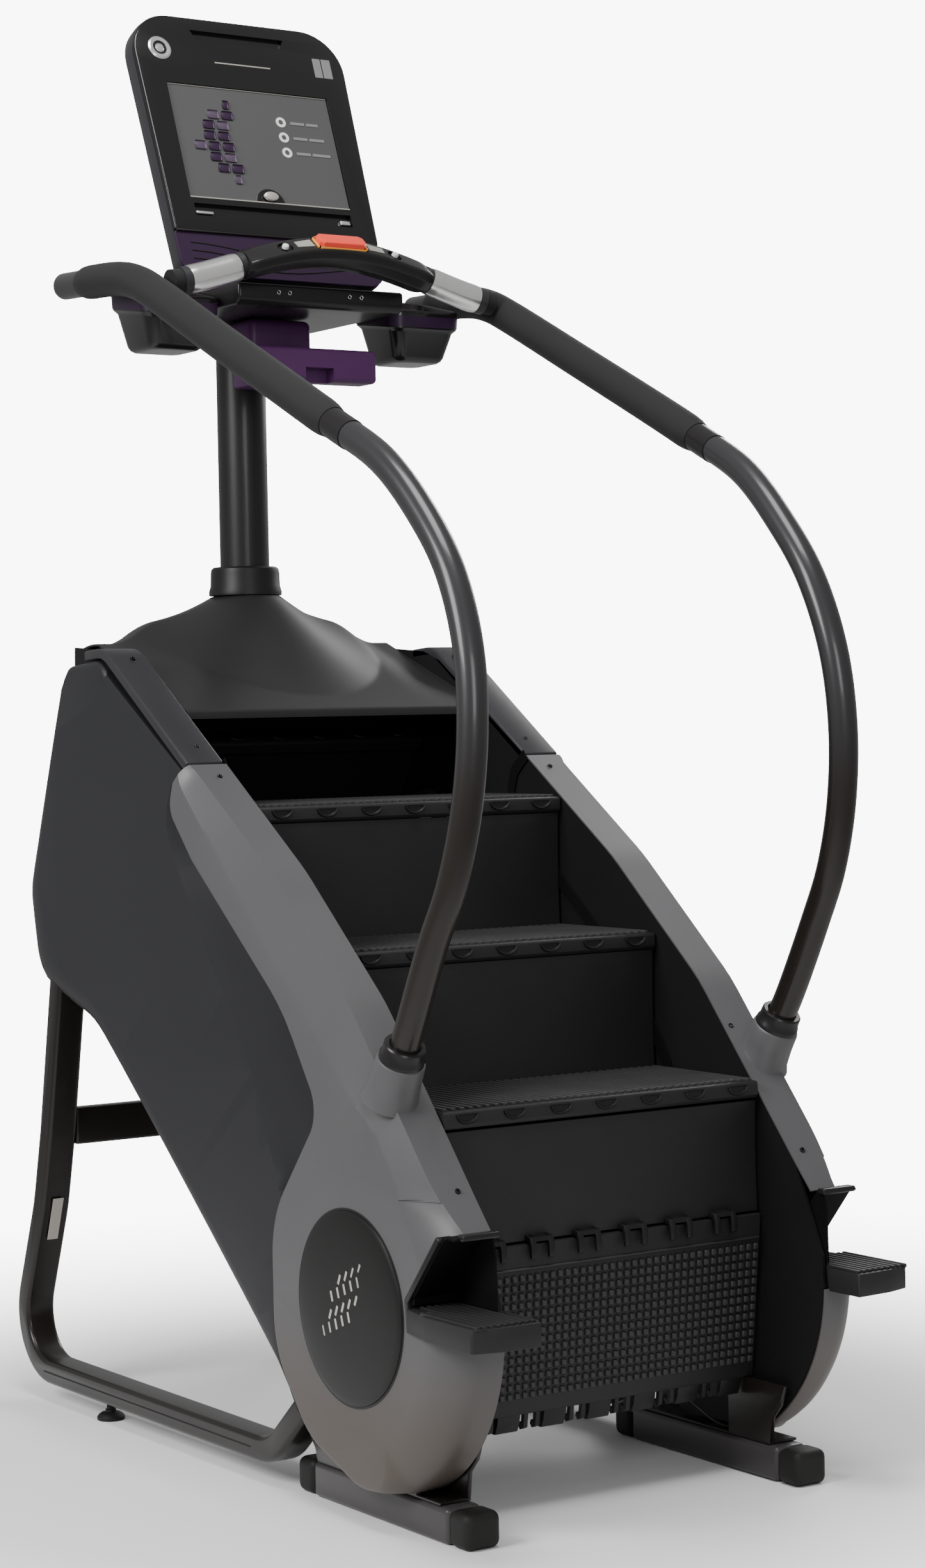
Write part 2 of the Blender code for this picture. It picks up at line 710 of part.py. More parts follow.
def make_console():
    low = 0.013
    wall = 0.006
    half_low = CONSOLE_HALF - 0.012
    shell = loft("console_shell", [
        console_ring(half_low, CONSOLE_HALF, low, CONSOLE_TOP, -0.0045),
        console_ring(half_low, CONSOLE_HALF, low, CONSOLE_TOP, -0.030),
        console_ring(half_low - 0.030, CONSOLE_HALF - 0.030, low + 0.030, CONSOLE_TOP - 0.030,
                     -CONSOLE_DEPTH),
    ])
    hollow = loft("console_hollow", [
        console_ring(half_low - wall, CONSOLE_HALF - wall, low + wall, CONSOLE_TOP - wall, 0.010),
        console_ring(half_low - wall, CONSOLE_HALF - wall, low + wall, CONSOLE_TOP - wall, -0.030),
        console_ring(half_low - 0.036, CONSOLE_HALF - 0.036, low + 0.036, CONSOLE_TOP - 0.036,
                     -CONSOLE_DEPTH + 0.004),
    ], CUTTERS)
    place_on_console(hollow)
    place_on_console(shell)
    finish(cut(shell, hollow), DARK, 0.4)

    split = 0.090
    bezel = loft("console_bezel", [
        console_ring(CONSOLE_HALF - 0.011, CONSOLE_HALF - 0.001, split, CONSOLE_TOP - 0.001, depth,
                     0.074, 0.004)
        for depth in (-0.004, 0.004)
    ])
    window = box("screen_window", (-0.1500, 0.1500, -0.02), (0.1500, 0.3580, 0.02), CUTTERS)
    place_on_console(bezel)
    place_on_console(window)
    finish(cut(bezel, window), BLACK, 0.15)

    screen = box("console_screen", (-0.1495, 0.1505, -0.0035), (0.1495, 0.3575, 0.0010))
    place_on_console(screen)
    finish(screen, (0.09, 0.09, 0.10), 0.12)

    ledge = loft("console_lower_panel", [
        console_ring(half_low, CONSOLE_HALF - 0.010, low, split - 0.0006, depth, 0.004, 0.030)
        for depth in (-0.004, 0.001)
    ])
    place_on_console(ledge)
    finish(ledge, (0.030, 0.018, 0.036), 0.25)

    button = box("home_button", (-0.014, 0.154, 0.0045), (0.014, 0.170, 0.0090))
    add_bevel(button, 0.002)
    place_on_console(button)
    finish(button, (0.45, 0.45, 0.46), 0.3, 0.8)

    bracket = prism("console_bracket", [
        (0.232, 1.755), (0.222, 1.764), (0.222, 1.789), (0.540, 1.789), (0.540, 1.770), (0.525, 1.755),
    ], -0.152, 0.152)
    add_bevel(bracket, 0.004)
    finish(bracket, BLACK, 0.5)


# ---------------------------------------------------------------- handlebar


def bar_drop(x):
    """How far the arched handlebar is below its middle at this x."""
    return 1.28 * x**2 - 6.3 * x**4


def bar_point(x):
    return Vector((x, BAR_CENTRE[0] - 0.10 * x**2, BAR_CENTRE[1] - bar_drop(x)))


def housing_ring(x, grow=1.0):
    section = [(-0.032, -0.014), (-0.038, 0.000), (-0.010, 0.0225), (0.026, 0.0245),
               (0.034, 0.016), (0.034, -0.010), (0.020, -0.0225), (-0.014, -0.0240)]
    centre = bar_point(x)
    return [(x, centre.y + y * grow, centre.z + z * grow) for y, z in section]


BUTTON_TILT = math.atan2(0.0225, 0.028)


def on_housing_face(x, up=0.0):
    """A point on the housing's sloping front face, and the matrix of that face."""
    centre = bar_point(x)
    middle = Vector((x, centre.y - 0.024, centre.z + 0.01125))
    normal = Vector((0, -math.sin(BUTTON_TILT), math.cos(BUTTON_TILT)))
    return Matrix.Translation(middle + normal * up) @ Matrix.Rotation(BUTTON_TILT, 4, "X")


def make_handlebar():
    reach = 0.2945
    bar = tube("handlebar", [bar_point(-reach + 2 * reach * k / 30) for k in range(31)], BAR_RADIUS, 3)
    finish(bar, BLACK, 0.45)

    stations = [-0.166, -0.160, -0.120, -0.080, -0.040, 0, 0.040, 0.080, 0.120, 0.160, 0.166]
    housing = loft("handlebar_housing", [housing_ring(x, 0.94 if abs(x) > 0.163 else 1.0) for x in stations])
    tunnel = tube("bar_tunnel", [bar_point(-0.2 + 0.4 * k / 20) for k in range(21)], BAR_RADIUS + 0.0008, 3)
    PARTS.objects.unlink(tunnel)
    CUTTERS.objects.link(tunnel)
    pockets = [box("stop_pocket", (-0.046, -0.0165, -0.0042), (0.046, 0.0165, 0.03), CUTTERS)]
    pockets[0].matrix_world = on_housing_face(0)
    for i, x in enumerate((-0.100, 0.100)):
        pockets.append(box(f"toggle_pocket_{i}", (-0.011, -0.012, -0.0040), (0.011, 0.012, 0.03), CUTTERS))
        pockets[-1].matrix_world = on_housing_face(x)
    finish(cut(housing, tunnel, *pockets), BLACK, 0.4)

    stop = box("stop_button", (-0.0445, -0.0150, 0), (0.0445, 0.0150, 0.0085))
    add_bevel(stop, 0.0025, 2)
    stop.matrix_world = on_housing_face(0, 0.0002)
    finish(stop, (0.75, 0.06, 0.03), 0.35)

    for name, x in (("toggle_left", -0.100), ("toggle_right", 0.100)):
        toggle = box(name, (-0.006, -0.0075, -0.0012), (0.006, 0.0075, 0.0060))
        add_bevel(toggle, 0.0015)
        toggle.matrix_world = on_housing_face(x)
        finish(toggle, (0.7, 0.7, 0.7), 0.4)

    line = [bar_point(0.176 + 0.088 * k / 6) for k in range(7)]
    plate = tube("pulse_plate_right", line, PLATE_RADIUS, 4, capped=False)
    face_outwards(plate)
    add_solidify(plate, PLATE_RADIUS - BAR_RADIUS - 0.0016)
    pair(plate, (0.75, 0.75, 0.76), 0.2, 1.0)


# ---------------------------------------------------------------- handrails and cups

RAIL_LOW = [
    (0.3235, -0.4690, 0.6360), (0.3270, -0.5080, 0.7000), (0.3280, -0.5640, 0.8040),
    (0.3240, -0.6070, 0.8840), (0.3190, -0.6370, 0.9800), (0.3140, -0.6480, 1.0840),
    (0.3090, -0.6360, 1.1910), (0.3060, -0.5940, 1.2940), (0.3070, -0.5270, 1.3780),
    (0.3120, -0.4390, 1.4560), (0.3180, -0.3220, 1.5160),
]
RAIL_HIGH = [
    (0.3210, -0.2110, 1.5700), (0.3230, -0.0120, 1.6650), (0.3230, 0.1650, 1.7500),
    (0.3230, 0.2350, 1.7790), (0.3240, 0.3000, 1.7920), (0.3260, 0.4000, 1.7980),
    (0.3290, 0.4700, 1.8010),
]
FOAM_FROM = 10
FOAM_TO = 16


def make_handrails():
    per_span = 2
    line = smooth_path(RAIL_LOW + RAIL_HIGH, per_span)
    rail = tube("handrail_right", line, RAIL_RADIUS, 3)
    pair(rail, (0.060, 0.060, 0.064), 0.3, 0.6)

    foam_line = line[FOAM_FROM * per_span:FOAM_TO * per_span + 1]
    foam = tube("foam_grip_right", foam_line, FOAM_RADIUS, 3, capped=False)
    face_outwards(foam)
    add_solidify(foam, FOAM_RADIUS - RAIL_RADIUS - 0.0024)
    pair(foam, BLACK, 0.85)

    lean = (Vector(RAIL_LOW[1]) - Vector(RAIL_LOW[0])).normalized()
    inner = RAIL_RADIUS + 0.0012
    collar = turned("rail_collar_right", [
        (0.0280, 0.030), (0.0295, 0.028), (0.0310, 0.010), (inner, 0.010), (inner, 0.030),
    ], 24, ring=True)
    turn = Vector((0, 0, 1)).rotation_difference(lean).to_matrix().to_4x4()
    collar.matrix_world = Matrix.Translation(Vector(RAIL_LOW[0]) + lean * 0.004) @ turn
    pair(collar, BLACK, 0.5)


def cup_ring(half, z, slant=0.0, chamfer=0.38):
    """Cup section; slant is how much higher the back is than the middle, for each metre."""
    corner = half * chamfer
    corners = [(-half, -half, corner), (half, -half, corner), (half, half, corner), (-half, half, corner)]
    return [(CUP_CENTRE[0] + p.x, CUP_CENTRE[1] + p.y, z + slant * p.y)
            for p in filleted(corners, turn=math.radians(45))]


def make_cup_holders():
    cup = loft("cup_holder_right", [
        cup_ring(0.042, 1.687), cup_ring(0.047, 1.692), cup_ring(0.061, 1.745, 0.14),
        cup_ring(0.066, 1.750, 0.14), cup_ring(0.068, 1.782, CUP_SLANT),
    ])
    hollow = loft("cup_hollow", [cup_ring(0.0440, 1.6915), cup_ring(0.0655, 1.788, CUP_SLANT)], CUTTERS)
    pair(cut(cup, hollow), BLACK, 0.5)


make_side_frame()
make_side_covers()
make_platforms()
make_rear_frame()
make_back_cover()
make_steps()
make_drive()
make_deck()
make_mast()
make_console()
make_handlebar()
make_handrails()
make_cup_holders()
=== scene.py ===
"""Looks of the stair climber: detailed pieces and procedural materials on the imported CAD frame."""

import math

import bmesh
import bpy
from mathutils import Matrix, Vector


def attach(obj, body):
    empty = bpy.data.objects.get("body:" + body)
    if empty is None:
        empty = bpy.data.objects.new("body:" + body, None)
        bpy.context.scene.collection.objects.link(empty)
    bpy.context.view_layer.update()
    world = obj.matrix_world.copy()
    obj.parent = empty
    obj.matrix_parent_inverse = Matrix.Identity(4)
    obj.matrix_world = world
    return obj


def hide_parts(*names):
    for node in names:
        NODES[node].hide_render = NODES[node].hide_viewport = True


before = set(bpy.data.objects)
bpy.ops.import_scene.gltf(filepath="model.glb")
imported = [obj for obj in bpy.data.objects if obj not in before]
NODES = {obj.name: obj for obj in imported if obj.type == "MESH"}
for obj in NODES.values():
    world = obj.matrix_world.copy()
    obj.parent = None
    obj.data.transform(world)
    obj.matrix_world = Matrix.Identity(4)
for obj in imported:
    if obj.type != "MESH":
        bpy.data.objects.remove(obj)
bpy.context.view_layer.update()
scene = bpy.context.scene

ROOT = "machine"
LOWER_SHAFT = (-0.376, 0.300)
UPPER_SHAFT = (0.340, 0.907)
STEP_HALF = 0.271
RISE = 0.203
RUN = 0.240
NOSE_LOW = (-0.498, 0.574)
CONSOLE_PLACE = Matrix.Translation((0.0, 0.326, 1.800)) @ Matrix.Rotation(math.radians(70), 4, "X")


# ---------------------------------------------------------------- camera, light and floor


def make_camera():
    yaw, pitch, roll = math.radians(33.56), math.radians(1.22), math.radians(-1.15)
    forward = Vector((math.sin(yaw) * math.cos(pitch), math.cos(yaw) * math.cos(pitch), -math.sin(pitch)))
    right = Vector((math.cos(yaw), -math.sin(yaw), 0))
    up = right.cross(forward)
    right, up = right * math.cos(roll) + up * math.sin(roll), up * math.cos(roll) - right * math.sin(roll)
    data = bpy.data.cameras.new("camera")
    data.lens = 72.27
    data.sensor_fit = "VERTICAL"
    data.sensor_height = 36
    data.sensor_width = 36
    camera = bpy.data.objects.new("camera", data)
    scene.collection.objects.link(camera)
    turn = Matrix((right, up, -forward)).transposed()
    camera.matrix_world = Matrix.Translation((-2.585, -4.046, 1.106)) @ turn.to_4x4()
    scene.camera = camera


def area_light(name, place, aim, size, power, colour=(1, 1, 1)):
    data = bpy.data.lights.new(name, "AREA")
    data.shape = "RECTANGLE"
    data.size, data.size_y = size
    data.energy = power
    data.color = colour
    light = bpy.data.objects.new(name, data)
    scene.collection.objects.link(light)
    light.location = place
    light.rotation_euler = (Vector(aim) - Vector(place)).to_track_quat("-Z", "Y").to_euler()


def make_stage():
    """White studio: soft light from above on the left, and a pale floor that fades out around the machine."""
    world = bpy.data.worlds.new("studio")
    world.use_nodes = True
    tree = world.node_tree
    path = tree.nodes.new("ShaderNodeLightPath")
    level = tree.nodes.new("ShaderNodeMapRange")
    level.inputs["To Min"].default_value = 0.42
    level.inputs["To Max"].default_value = 9.0
    back = tree.nodes["Background"]
    back.inputs["Color"].default_value = (1.0, 1.0, 1.0, 1)
    tree.links.new(path.outputs["Is Camera Ray"], level.inputs["Value"])
    tree.links.new(level.outputs["Result"], back.inputs["Strength"])
    scene.world = world
    area_light("key", (-3.9, -0.5, 3.0), (0, 0, 0.9), (1.8, 1.8), 175)
    area_light("top", (-0.6, -1.2, 4.6), (0, 0, 0.9), (1.6, 1.6), 110)
    area_light("front", (-1.4, -4.2, 2.2), (0, 0, 1.0), (1.4, 1.4), 40)
    area_light("rim", (3.2, 1.6, 2.8), (0, 0, 1.2), (1.4, 1.4), 60)
    bm = bmesh.new()
    bmesh.ops.create_circle(bm, cap_ends=True, segments=96, radius=4.5)
    floor = to_mesh(bm, new_mesh("floor"))
    floor.data.materials.append(fading_floor())


def fading_floor():
    material = plain_material("floor", (0.90, 0.90, 0.90), 0.8)
    tree = material.node_tree
    nodes, links = tree.nodes, tree.links
    place = nodes.new("ShaderNodeTexCoord")
    reach = nodes.new("ShaderNodeVectorMath")
    reach.operation = "LENGTH"
    fade = nodes.new("ShaderNodeMapRange")
    fade.interpolation_type = "SMOOTHSTEP"
    fade.inputs["From Min"].default_value = 0.7
    fade.inputs["From Max"].default_value = 2.6
    links.new(place.outputs["Object"], reach.inputs[0])
    links.new(reach.outputs["Value"], fade.inputs["Value"])
    clear = nodes.new("ShaderNodeBsdfTransparent")
    blend = nodes.new("ShaderNodeMixShader")
    links.new(fade.outputs["Result"], blend.inputs["Fac"])
    links.new(nodes["Principled BSDF"].outputs["BSDF"], blend.inputs[1])
    links.new(clear.outputs["BSDF"], blend.inputs[2])
    links.new(blend.outputs["Shader"], nodes["Material Output"].inputs["Surface"])
    return material


# ---------------------------------------------------------------- materials


def plain_material(name, colour, rough):
    material = bpy.data.materials.new(name)
    material.use_nodes = True
    shader = material.node_tree.nodes["Principled BSDF"]
    shader.inputs["Base Color"].default_value = (*colour, 1)
    shader.inputs["Roughness"].default_value = rough
    return material


def moulded(name, colour, rough, *, other=None, metallic=0.0, grain=700, bump=0.15, blotch=5,
            spread=0.06, coat=0.0, specular=0.28, sheen=0.0, low=None):
    """Procedural surface: fine grain in the bump, soft patches in the colour and the roughness.

    other is the colour of the patches; low tints the surface below that height with another colour."""
    material = bpy.data.materials.new(name)
    material.use_nodes = True
    tree = material.node_tree
    nodes, links = tree.nodes, tree.links
    shader = nodes["Principled BSDF"]
    shader.inputs["Metallic"].default_value = metallic
    shader.inputs["Coat Weight"].default_value = coat
    shader.inputs["Coat Roughness"].default_value = 0.12
    shader.inputs["Specular IOR Level"].default_value = specular
    shader.inputs["Sheen Weight"].default_value = sheen
    place = nodes.new("ShaderNodeTexCoord")
    patches = nodes.new("ShaderNodeTexNoise")
    patches.inputs["Scale"].default_value = blotch
    patches.inputs["Detail"].default_value = 4
    links.new(place.outputs["Object"], patches.inputs["Vector"])
    blend = nodes.new("ShaderNodeMix")
    blend.data_type = "RGBA"
    blend.inputs[6].default_value = (*colour, 1)
    blend.inputs[7].default_value = (*(other or [c * 1.25 for c in colour]), 1)
    links.new(patches.outputs["Fac"], blend.inputs[0])
    links.new(blend.outputs[2], shader.inputs["Base Color"])
    if low:
        height, tint = low
        split = nodes.new("ShaderNodeSeparateXYZ")
        links.new(place.outputs["Object"], split.inputs["Vector"])
        ramp = nodes.new("ShaderNodeMapRange")
        ramp.interpolation_type = "SMOOTHSTEP"
        ramp.inputs["From Min"].default_value = height + 0.10
        ramp.inputs["From Max"].default_value = height - 0.10
        links.new(split.outputs["Z"], ramp.inputs["Value"])
        warm = nodes.new("ShaderNodeMix")
        warm.data_type = "RGBA"
        warm.inputs[7].default_value = (*tint, 1)
        links.new(ramp.outputs["Result"], warm.inputs[0])
        links.new(blend.outputs[2], warm.inputs[6])
        links.new(warm.outputs[2], shader.inputs["Base Color"])
    vary = nodes.new("ShaderNodeMapRange")
    vary.inputs["To Min"].default_value = max(0.02, rough - spread)
    vary.inputs["To Max"].default_value = min(1, rough + spread)
    links.new(patches.outputs["Fac"], vary.inputs["Value"])
    links.new(vary.outputs["Result"], shader.inputs["Roughness"])
    fine = nodes.new("ShaderNodeTexNoise")
    fine.inputs["Scale"].default_value = grain
    fine.inputs["Detail"].default_value = 3
    links.new(place.outputs["Object"], fine.inputs["Vector"])
    relief = nodes.new("ShaderNodeBump")
    relief.inputs["Strength"].default_value = bump
    relief.inputs["Distance"].default_value = 0.0006
    links.new(fine.outputs["Fac"], relief.inputs["Height"])
    links.new(relief.outputs["Normal"], shader.inputs["Normal"])
    return material


def make_materials():
    return {
        "grey": moulded("grey_cover", (0.074, 0.0735, 0.077), 0.42, other=(0.086, 0.0855, 0.089),
                        low=(0.22, (0.062, 0.050, 0.042)), grain=900, bump=0.06, specular=0.45),
        "panel": moulded("dark_panel", (0.0145, 0.0145, 0.0165), 0.44, grain=800, bump=0.10),
        "strip": moulded("dark_strip", (0.024, 0.0235, 0.026), 0.40, grain=800, bump=0.08),
        "step": moulded("step_plastic", (0.0130, 0.0130, 0.0135), 0.50, other=(0.0180, 0.0180, 0.0182),
                        grain=1400, bump=0.25, blotch=9),
        "step_top": moulded("step_tread", (0.0260, 0.0250, 0.0255), 0.46, other=(0.0380, 0.0365, 0.0365),
                            grain=1400, bump=0.3, blotch=14),
        # inner_steel: the inner parts' dark paint, made darker than the frame paint as painted shade for the inside of
        # the machine
        "inner": moulded("inner_steel", (0.004, 0.004, 0.0045), 0.60, bump=0.2, grain=500, specular=0.25),
        # near-black for the toe recesses, the seam backing and the deck lining: painted shade, not a surface colour
        "painted_shade": moulded("painted_recess_shade", (0.0022, 0.0022, 0.0023), 0.70, bump=0.2, grain=500, specular=0.12),
        "frame": moulded("frame_paint", (0.0085, 0.0068, 0.0060), 0.32, coat=0.15, grain=1200, bump=0.05),
        "foot": moulded("foot_paint", (0.040, 0.036, 0.038), 0.36, coat=0.1, grain=1200, bump=0.05),
        # black plastic, also used on the step tabs as painted shade under the treads' front edges
        "black": moulded("black_plastic", (0.008, 0.0075, 0.0075), 0.42, grain=900, bump=0.15),
        "satin": moulded("satin_black", (0.012, 0.011, 0.011), 0.28, grain=900, bump=0.08),
        "rail": moulded("rail_paint", (0.030, 0.029, 0.031), 0.32, metallic=0.25, coat=0.25,
                        low=(1.05, (0.018, 0.0145, 0.0125)), grain=1300, bump=0.04, blotch=3),
        "foam": moulded("foam", (0.0075, 0.0075, 0.008), 0.80, other=(0.0125, 0.0125, 0.013), grain=450,
                        bump=0.45, blotch=12, sheen=0.04, specular=0.3),
        "rubber": moulded("foot_rubber", (0.008, 0.0075, 0.007), 0.6, grain=900, bump=0.3),
        "steel": moulded("bare_steel", (0.45, 0.45, 0.46), 0.32, metallic=1.0, bump=0.05),
        "gloss": moulded("gloss_black", (0.0065, 0.006, 0.0065), 0.12, spread=0.03, grain=200, bump=0.01,
                         coat=0.4),
        "screen": moulded("screen_glass", (0.066, 0.064, 0.066), 0.16, other=(0.080, 0.078, 0.079),
                          spread=0.03, grain=200, bump=0.01, coat=0.5),
        "purple": moulded("purple_paint", (0.070, 0.018, 0.085), 0.42, other=(0.090, 0.028, 0.105),
                          grain=1000, bump=0.12),
        "violet": moulded("violet_plastic", (0.022, 0.009, 0.028), 0.34, grain=900, bump=0.08),
        "cup": moulded("cup_plastic", (0.0075, 0.0065, 0.0065), 0.26, coat=0.3, grain=800, bump=0.05),
        "cup_gloss": moulded("cup_gloss", (0.045, 0.010, 0.062), 0.16, coat=0.6, spread=0.04, bump=0.02),
        "red": moulded("stop_red", (0.72, 0.050, 0.026), 0.35, coat=0.3, spread=0.04, bump=0.03),
        "amber": moulded("stop_rim", (0.72, 0.30, 0.045), 0.4, spread=0.05, bump=0.04),
        "silver": moulded("silver", (0.72, 0.71, 0.70), 0.22, metallic=0.9, spread=0.06, bump=0.03),
        "satin_silver": moulded("satin_silver", (0.50, 0.48, 0.44), 0.35, metallic=0.7, bump=0.05),
        "white": moulded("printed_white", (0.62, 0.62, 0.60), 0.45, bump=0.03),
        "grey_print": moulded("printed_grey", (0.17, 0.17, 0.17), 0.45, bump=0.03),
        "cell": moulded("screen_cell", (0.026, 0.012, 0.032), 0.30, bump=0.02),
        "cell_pale": moulded("screen_cell_pale", (0.070, 0.050, 0.078), 0.30, bump=0.02),
        "label": moulded("blank_label", (0.36, 0.34, 0.31), 0.55, bump=0.05),
        "screw": moulded("screw_black", (0.006, 0.006, 0.006), 0.35, bump=0.05, metallic=0.4),
        "mast": moulded("mast_paint", (0.0125, 0.012, 0.0125), 0.36, metallic=0.1, coat=0.1, bump=0.05),
        "disc": moulded("disc_plastic", (0.0052, 0.0048, 0.0046), 0.44, other=(0.0070, 0.0064, 0.0060), bump=0.05),
        "deck": moulded("deck_plastic", (0.0150, 0.0145, 0.0150), 0.42, other=(0.0190, 0.0185, 0.0190),
                        bump=0.06, grain=900),
    }


# ---------------------------------------------------------------- outline helpers


def filleted(corners, closed=True, turn=math.radians(6)):
    """Points of a polygon or path whose corners (y, z, radius) are rounded."""
    points = []
    count = len(corners)
    for i, (y, z, radius) in enumerate(corners):
        here = Vector((y, z))
        if radius == 0 or (not closed and i in (0, count - 1)):
            points.append(here)
            continue
        before = (Vector(corners[i - 1][:2]) - here).normalized()
        after = (Vector(corners[(i + 1) % count][:2]) - here).normalized()
        half = before.angle(after) / 2
        centre = here + (before + after).normalized() * (radius / math.sin(half))
        first = here + before * (radius / math.tan(half)) - centre
        last = here + after * (radius / math.tan(half)) - centre
        start = math.atan2(first.y, first.x)
        sweep = (math.atan2(last.y, last.x) - start + math.pi) % math.tau - math.pi
        steps = max(2, round(abs(sweep) / turn))
        for k in range(steps + 1):
            angle = start + sweep * k / steps
            points.append(centre + Vector((math.cos(angle), math.sin(angle))) * radius)
    return points


def arc(centre, radius, start, end, steps):
    angles = [math.radians(start + (end - start) * k / steps) for k in range(steps + 1)]
    return [Vector((centre[0] + radius * math.cos(a), centre[1] + radius * math.sin(a))) for a in angles]


def beside(path, distance):
    """An open path moved to its left by this distance, with mitred corners."""
    path = [Vector(p[:2]) for p in path]
    moved = []
    for i, here in enumerate(path):
        into = (here - path[i - 1]).normalized() if i else None
        out = (path[i + 1] - here).normalized() if i < len(path) - 1 else None
        into, out = into or out, out or into
        along = (into + out).normalized()
        moved.append(here + Vector((-along.y, along.x)) * distance / max(0.3, along.dot(into)))
    return moved


def ribbon(path, half):
    return beside(path, half) + beside(path, -half)[::-1]


def smooth_path(points, per_span):
    """Points on a Catmull-Rom curve through the given points."""
    points = [Vector(p) for p in points]
    ends = [2 * points[0] - points[1], *points, 2 * points[-1] - points[-2]]
    found = []
    for a, b, c, d in zip(ends, ends[1:], ends[2:], ends[3:]):
        for k in range(per_span):
            t = k / per_span
            found.append(0.5 * ((2 * b) + (c - a) * t + (2 * a - 5 * b + 4 * c - d) * t**2
                                + (3 * b - a - 3 * c + d) * t**3))
    return found + [points[-1]]


def spaced(points, step):
    """The closed outline with no side longer than step."""
    found = []
    for a, b in zip(points, points[1:] + points[:1]):
        parts = max(1, math.ceil((b - a).length / step))
        found += [a.lerp(b, k / parts) for k in range(parts)]
    return found


def inward(points):
    """Inward mitre vectors of a closed outline in (y, z)."""
    area = sum(a.x * b.y - b.x * a.y for a, b in zip(points, points[1:] + points[:1]))
    side = 1 if area > 0 else -1
    found = []
    for i, here in enumerate(points):
        into = (here - points[i - 1]).normalized()
        out = (points[(i + 1) % len(points)] - here).normalized()
        along = (into + out).normalized()
        found.append(Vector((-along.y, along.x)) * side / max(0.5, along.dot(into)))
    return found


def softened(values, rounds):
    for _ in range(rounds):
        values = [(values[i - 1] + 2 * values[i] + values[(i + 1) % len(values)]) / 4 for i in range(len(values))]
    return values


# ---------------------------------------------------------------- mesh helpers


def new_mesh(name):
    obj = bpy.data.objects.new(name, bpy.data.meshes.new(name))
    scene.collection.objects.link(obj)
    return obj


def to_mesh(bm, obj, outward=True):
    if outward:
        bmesh.ops.recalc_face_normals(bm, faces=bm.faces)
    bm.to_mesh(obj.data)
    bm.free()
    return obj


def loft(name, rings, ends=True, closed=True):
    """Skin through rings of matching points."""
    bm = bmesh.new()
    rows = [[bm.verts.new(p) for p in ring] for ring in rings]
    count = len(rows[0])
    for lower, upper in zip(rows, rows[1:]):
        for i in range(count if closed else count - 1):
            j = (i + 1) % count
            bm.faces.new((lower[i], lower[j], upper[j], upper[i]))
    if ends:
        bm.faces.new(rows[0])
        bm.faces.new(rows[-1])
    return to_mesh(bm, new_mesh(name))


def prism(name, outline, x_low, x_high):
    return loft(name, [[(x, p[0], p[1]) for p in outline] for x in (x_low, x_high)])


def block(name, low, high, edge=0.0, segments=2, place=None):
    """Box with rounded edges."""
    bm = bmesh.new()
    size, middle = Vector(high) - Vector(low), (Vector(high) + Vector(low)) / 2
    bmesh.ops.create_cube(bm, size=1, matrix=Matrix.Translation(middle) @ Matrix.Diagonal((*size, 1)))
    if edge:
        bmesh.ops.bevel(bm, geom=bm.edges[:], offset=edge, segments=segments, profile=0.5, affect="EDGES")
    if place:
        bm.transform(place)
    return to_mesh(bm, new_mesh(name))


def turned(name, profile, sides=48, place=None, ring=False):
    """Profile of (radius, height) turned about local Z."""
    bm = bmesh.new()
    rows = []
    for radius, height in profile:
        if radius < 1e-6:
            rows.append([bm.verts.new((0, 0, height))])
        else:
            angles = [math.tau * k / sides for k in range(sides)]
            rows.append([bm.verts.new((radius * math.cos(a), radius * math.sin(a), height)) for a in angles])
    pairs = list(zip(rows, rows[1:])) + ([(rows[-1], rows[0])] if ring else [])
    for a, b in pairs:
        for i in range(sides):
            j = (i + 1) % sides
            corners = [a[i % len(a)], a[j % len(a)], b[j % len(b)], b[i % len(b)]]
            corners = [c for k, c in enumerate(corners) if c not in corners[:k]]
            if len(corners) > 2:
                bm.faces.new(corners)
    if place:
        bm.transform(place)
    return to_mesh(bm, new_mesh(name))


def tube(name, points, radius, sides=32, capped=True):
    """Round tube along points; radius is one number or one for each point."""
    points = [Vector(p) for p in points]
    radii = radius if isinstance(radius, (list, tuple)) else [radius] * len(points)
    ahead = (points[1] - points[0]).normalized()
    across = ahead.orthogonal().normalized()
    rings = []
    for i, here in enumerate(points):
        before = points[max(0, i - 1)]
        after = points[min(len(points) - 1, i + 1)]
        along = (after - before).normalized()
        across = (across - along * across.dot(along)).normalized()
        other = along.cross(across)
        rings.append([
            here + (across * math.cos(math.tau * k / sides) + other * math.sin(math.tau * k / sides)) * radii[i]
            for k in range(sides)
        ])
    return loft(name, rings, ends=capped)


def apply_modifiers(obj):
    bpy.context.view_layer.update()
    graph = bpy.context.evaluated_depsgraph_get()
    mesh = bpy.data.meshes.new_from_object(obj.evaluated_get(graph))
    obj.modifiers.clear()
    old, obj.data = obj.data, mesh
    bpy.data.meshes.remove(old)
    return obj


def boolean(obj, others, operation="DIFFERENCE"):
    for other in others:
        step = obj.modifiers.new("Cut", "BOOLEAN")
        step.operation = operation
        step.solver = "EXACT"
        step.object = other
        apply_modifiers(obj)
        bpy.data.objects.remove(other)
    return obj


def rounded(obj, width, segments=3, degrees=35):
    edge = obj.modifiers.new("Edges", "BEVEL")
    edge.width = width
    edge.segments = segments
    edge.limit_method = "ANGLE"
    edge.angle_limit = math.radians(degrees)
    return apply_modifiers(obj)


def solid(obj, thickness, offset=-1):
    skin = obj.modifiers.new("Skin", "SOLIDIFY")
    skin.thickness = thickness
    skin.offset = offset
    skin.use_even_offset = False
    return apply_modifiers(obj)


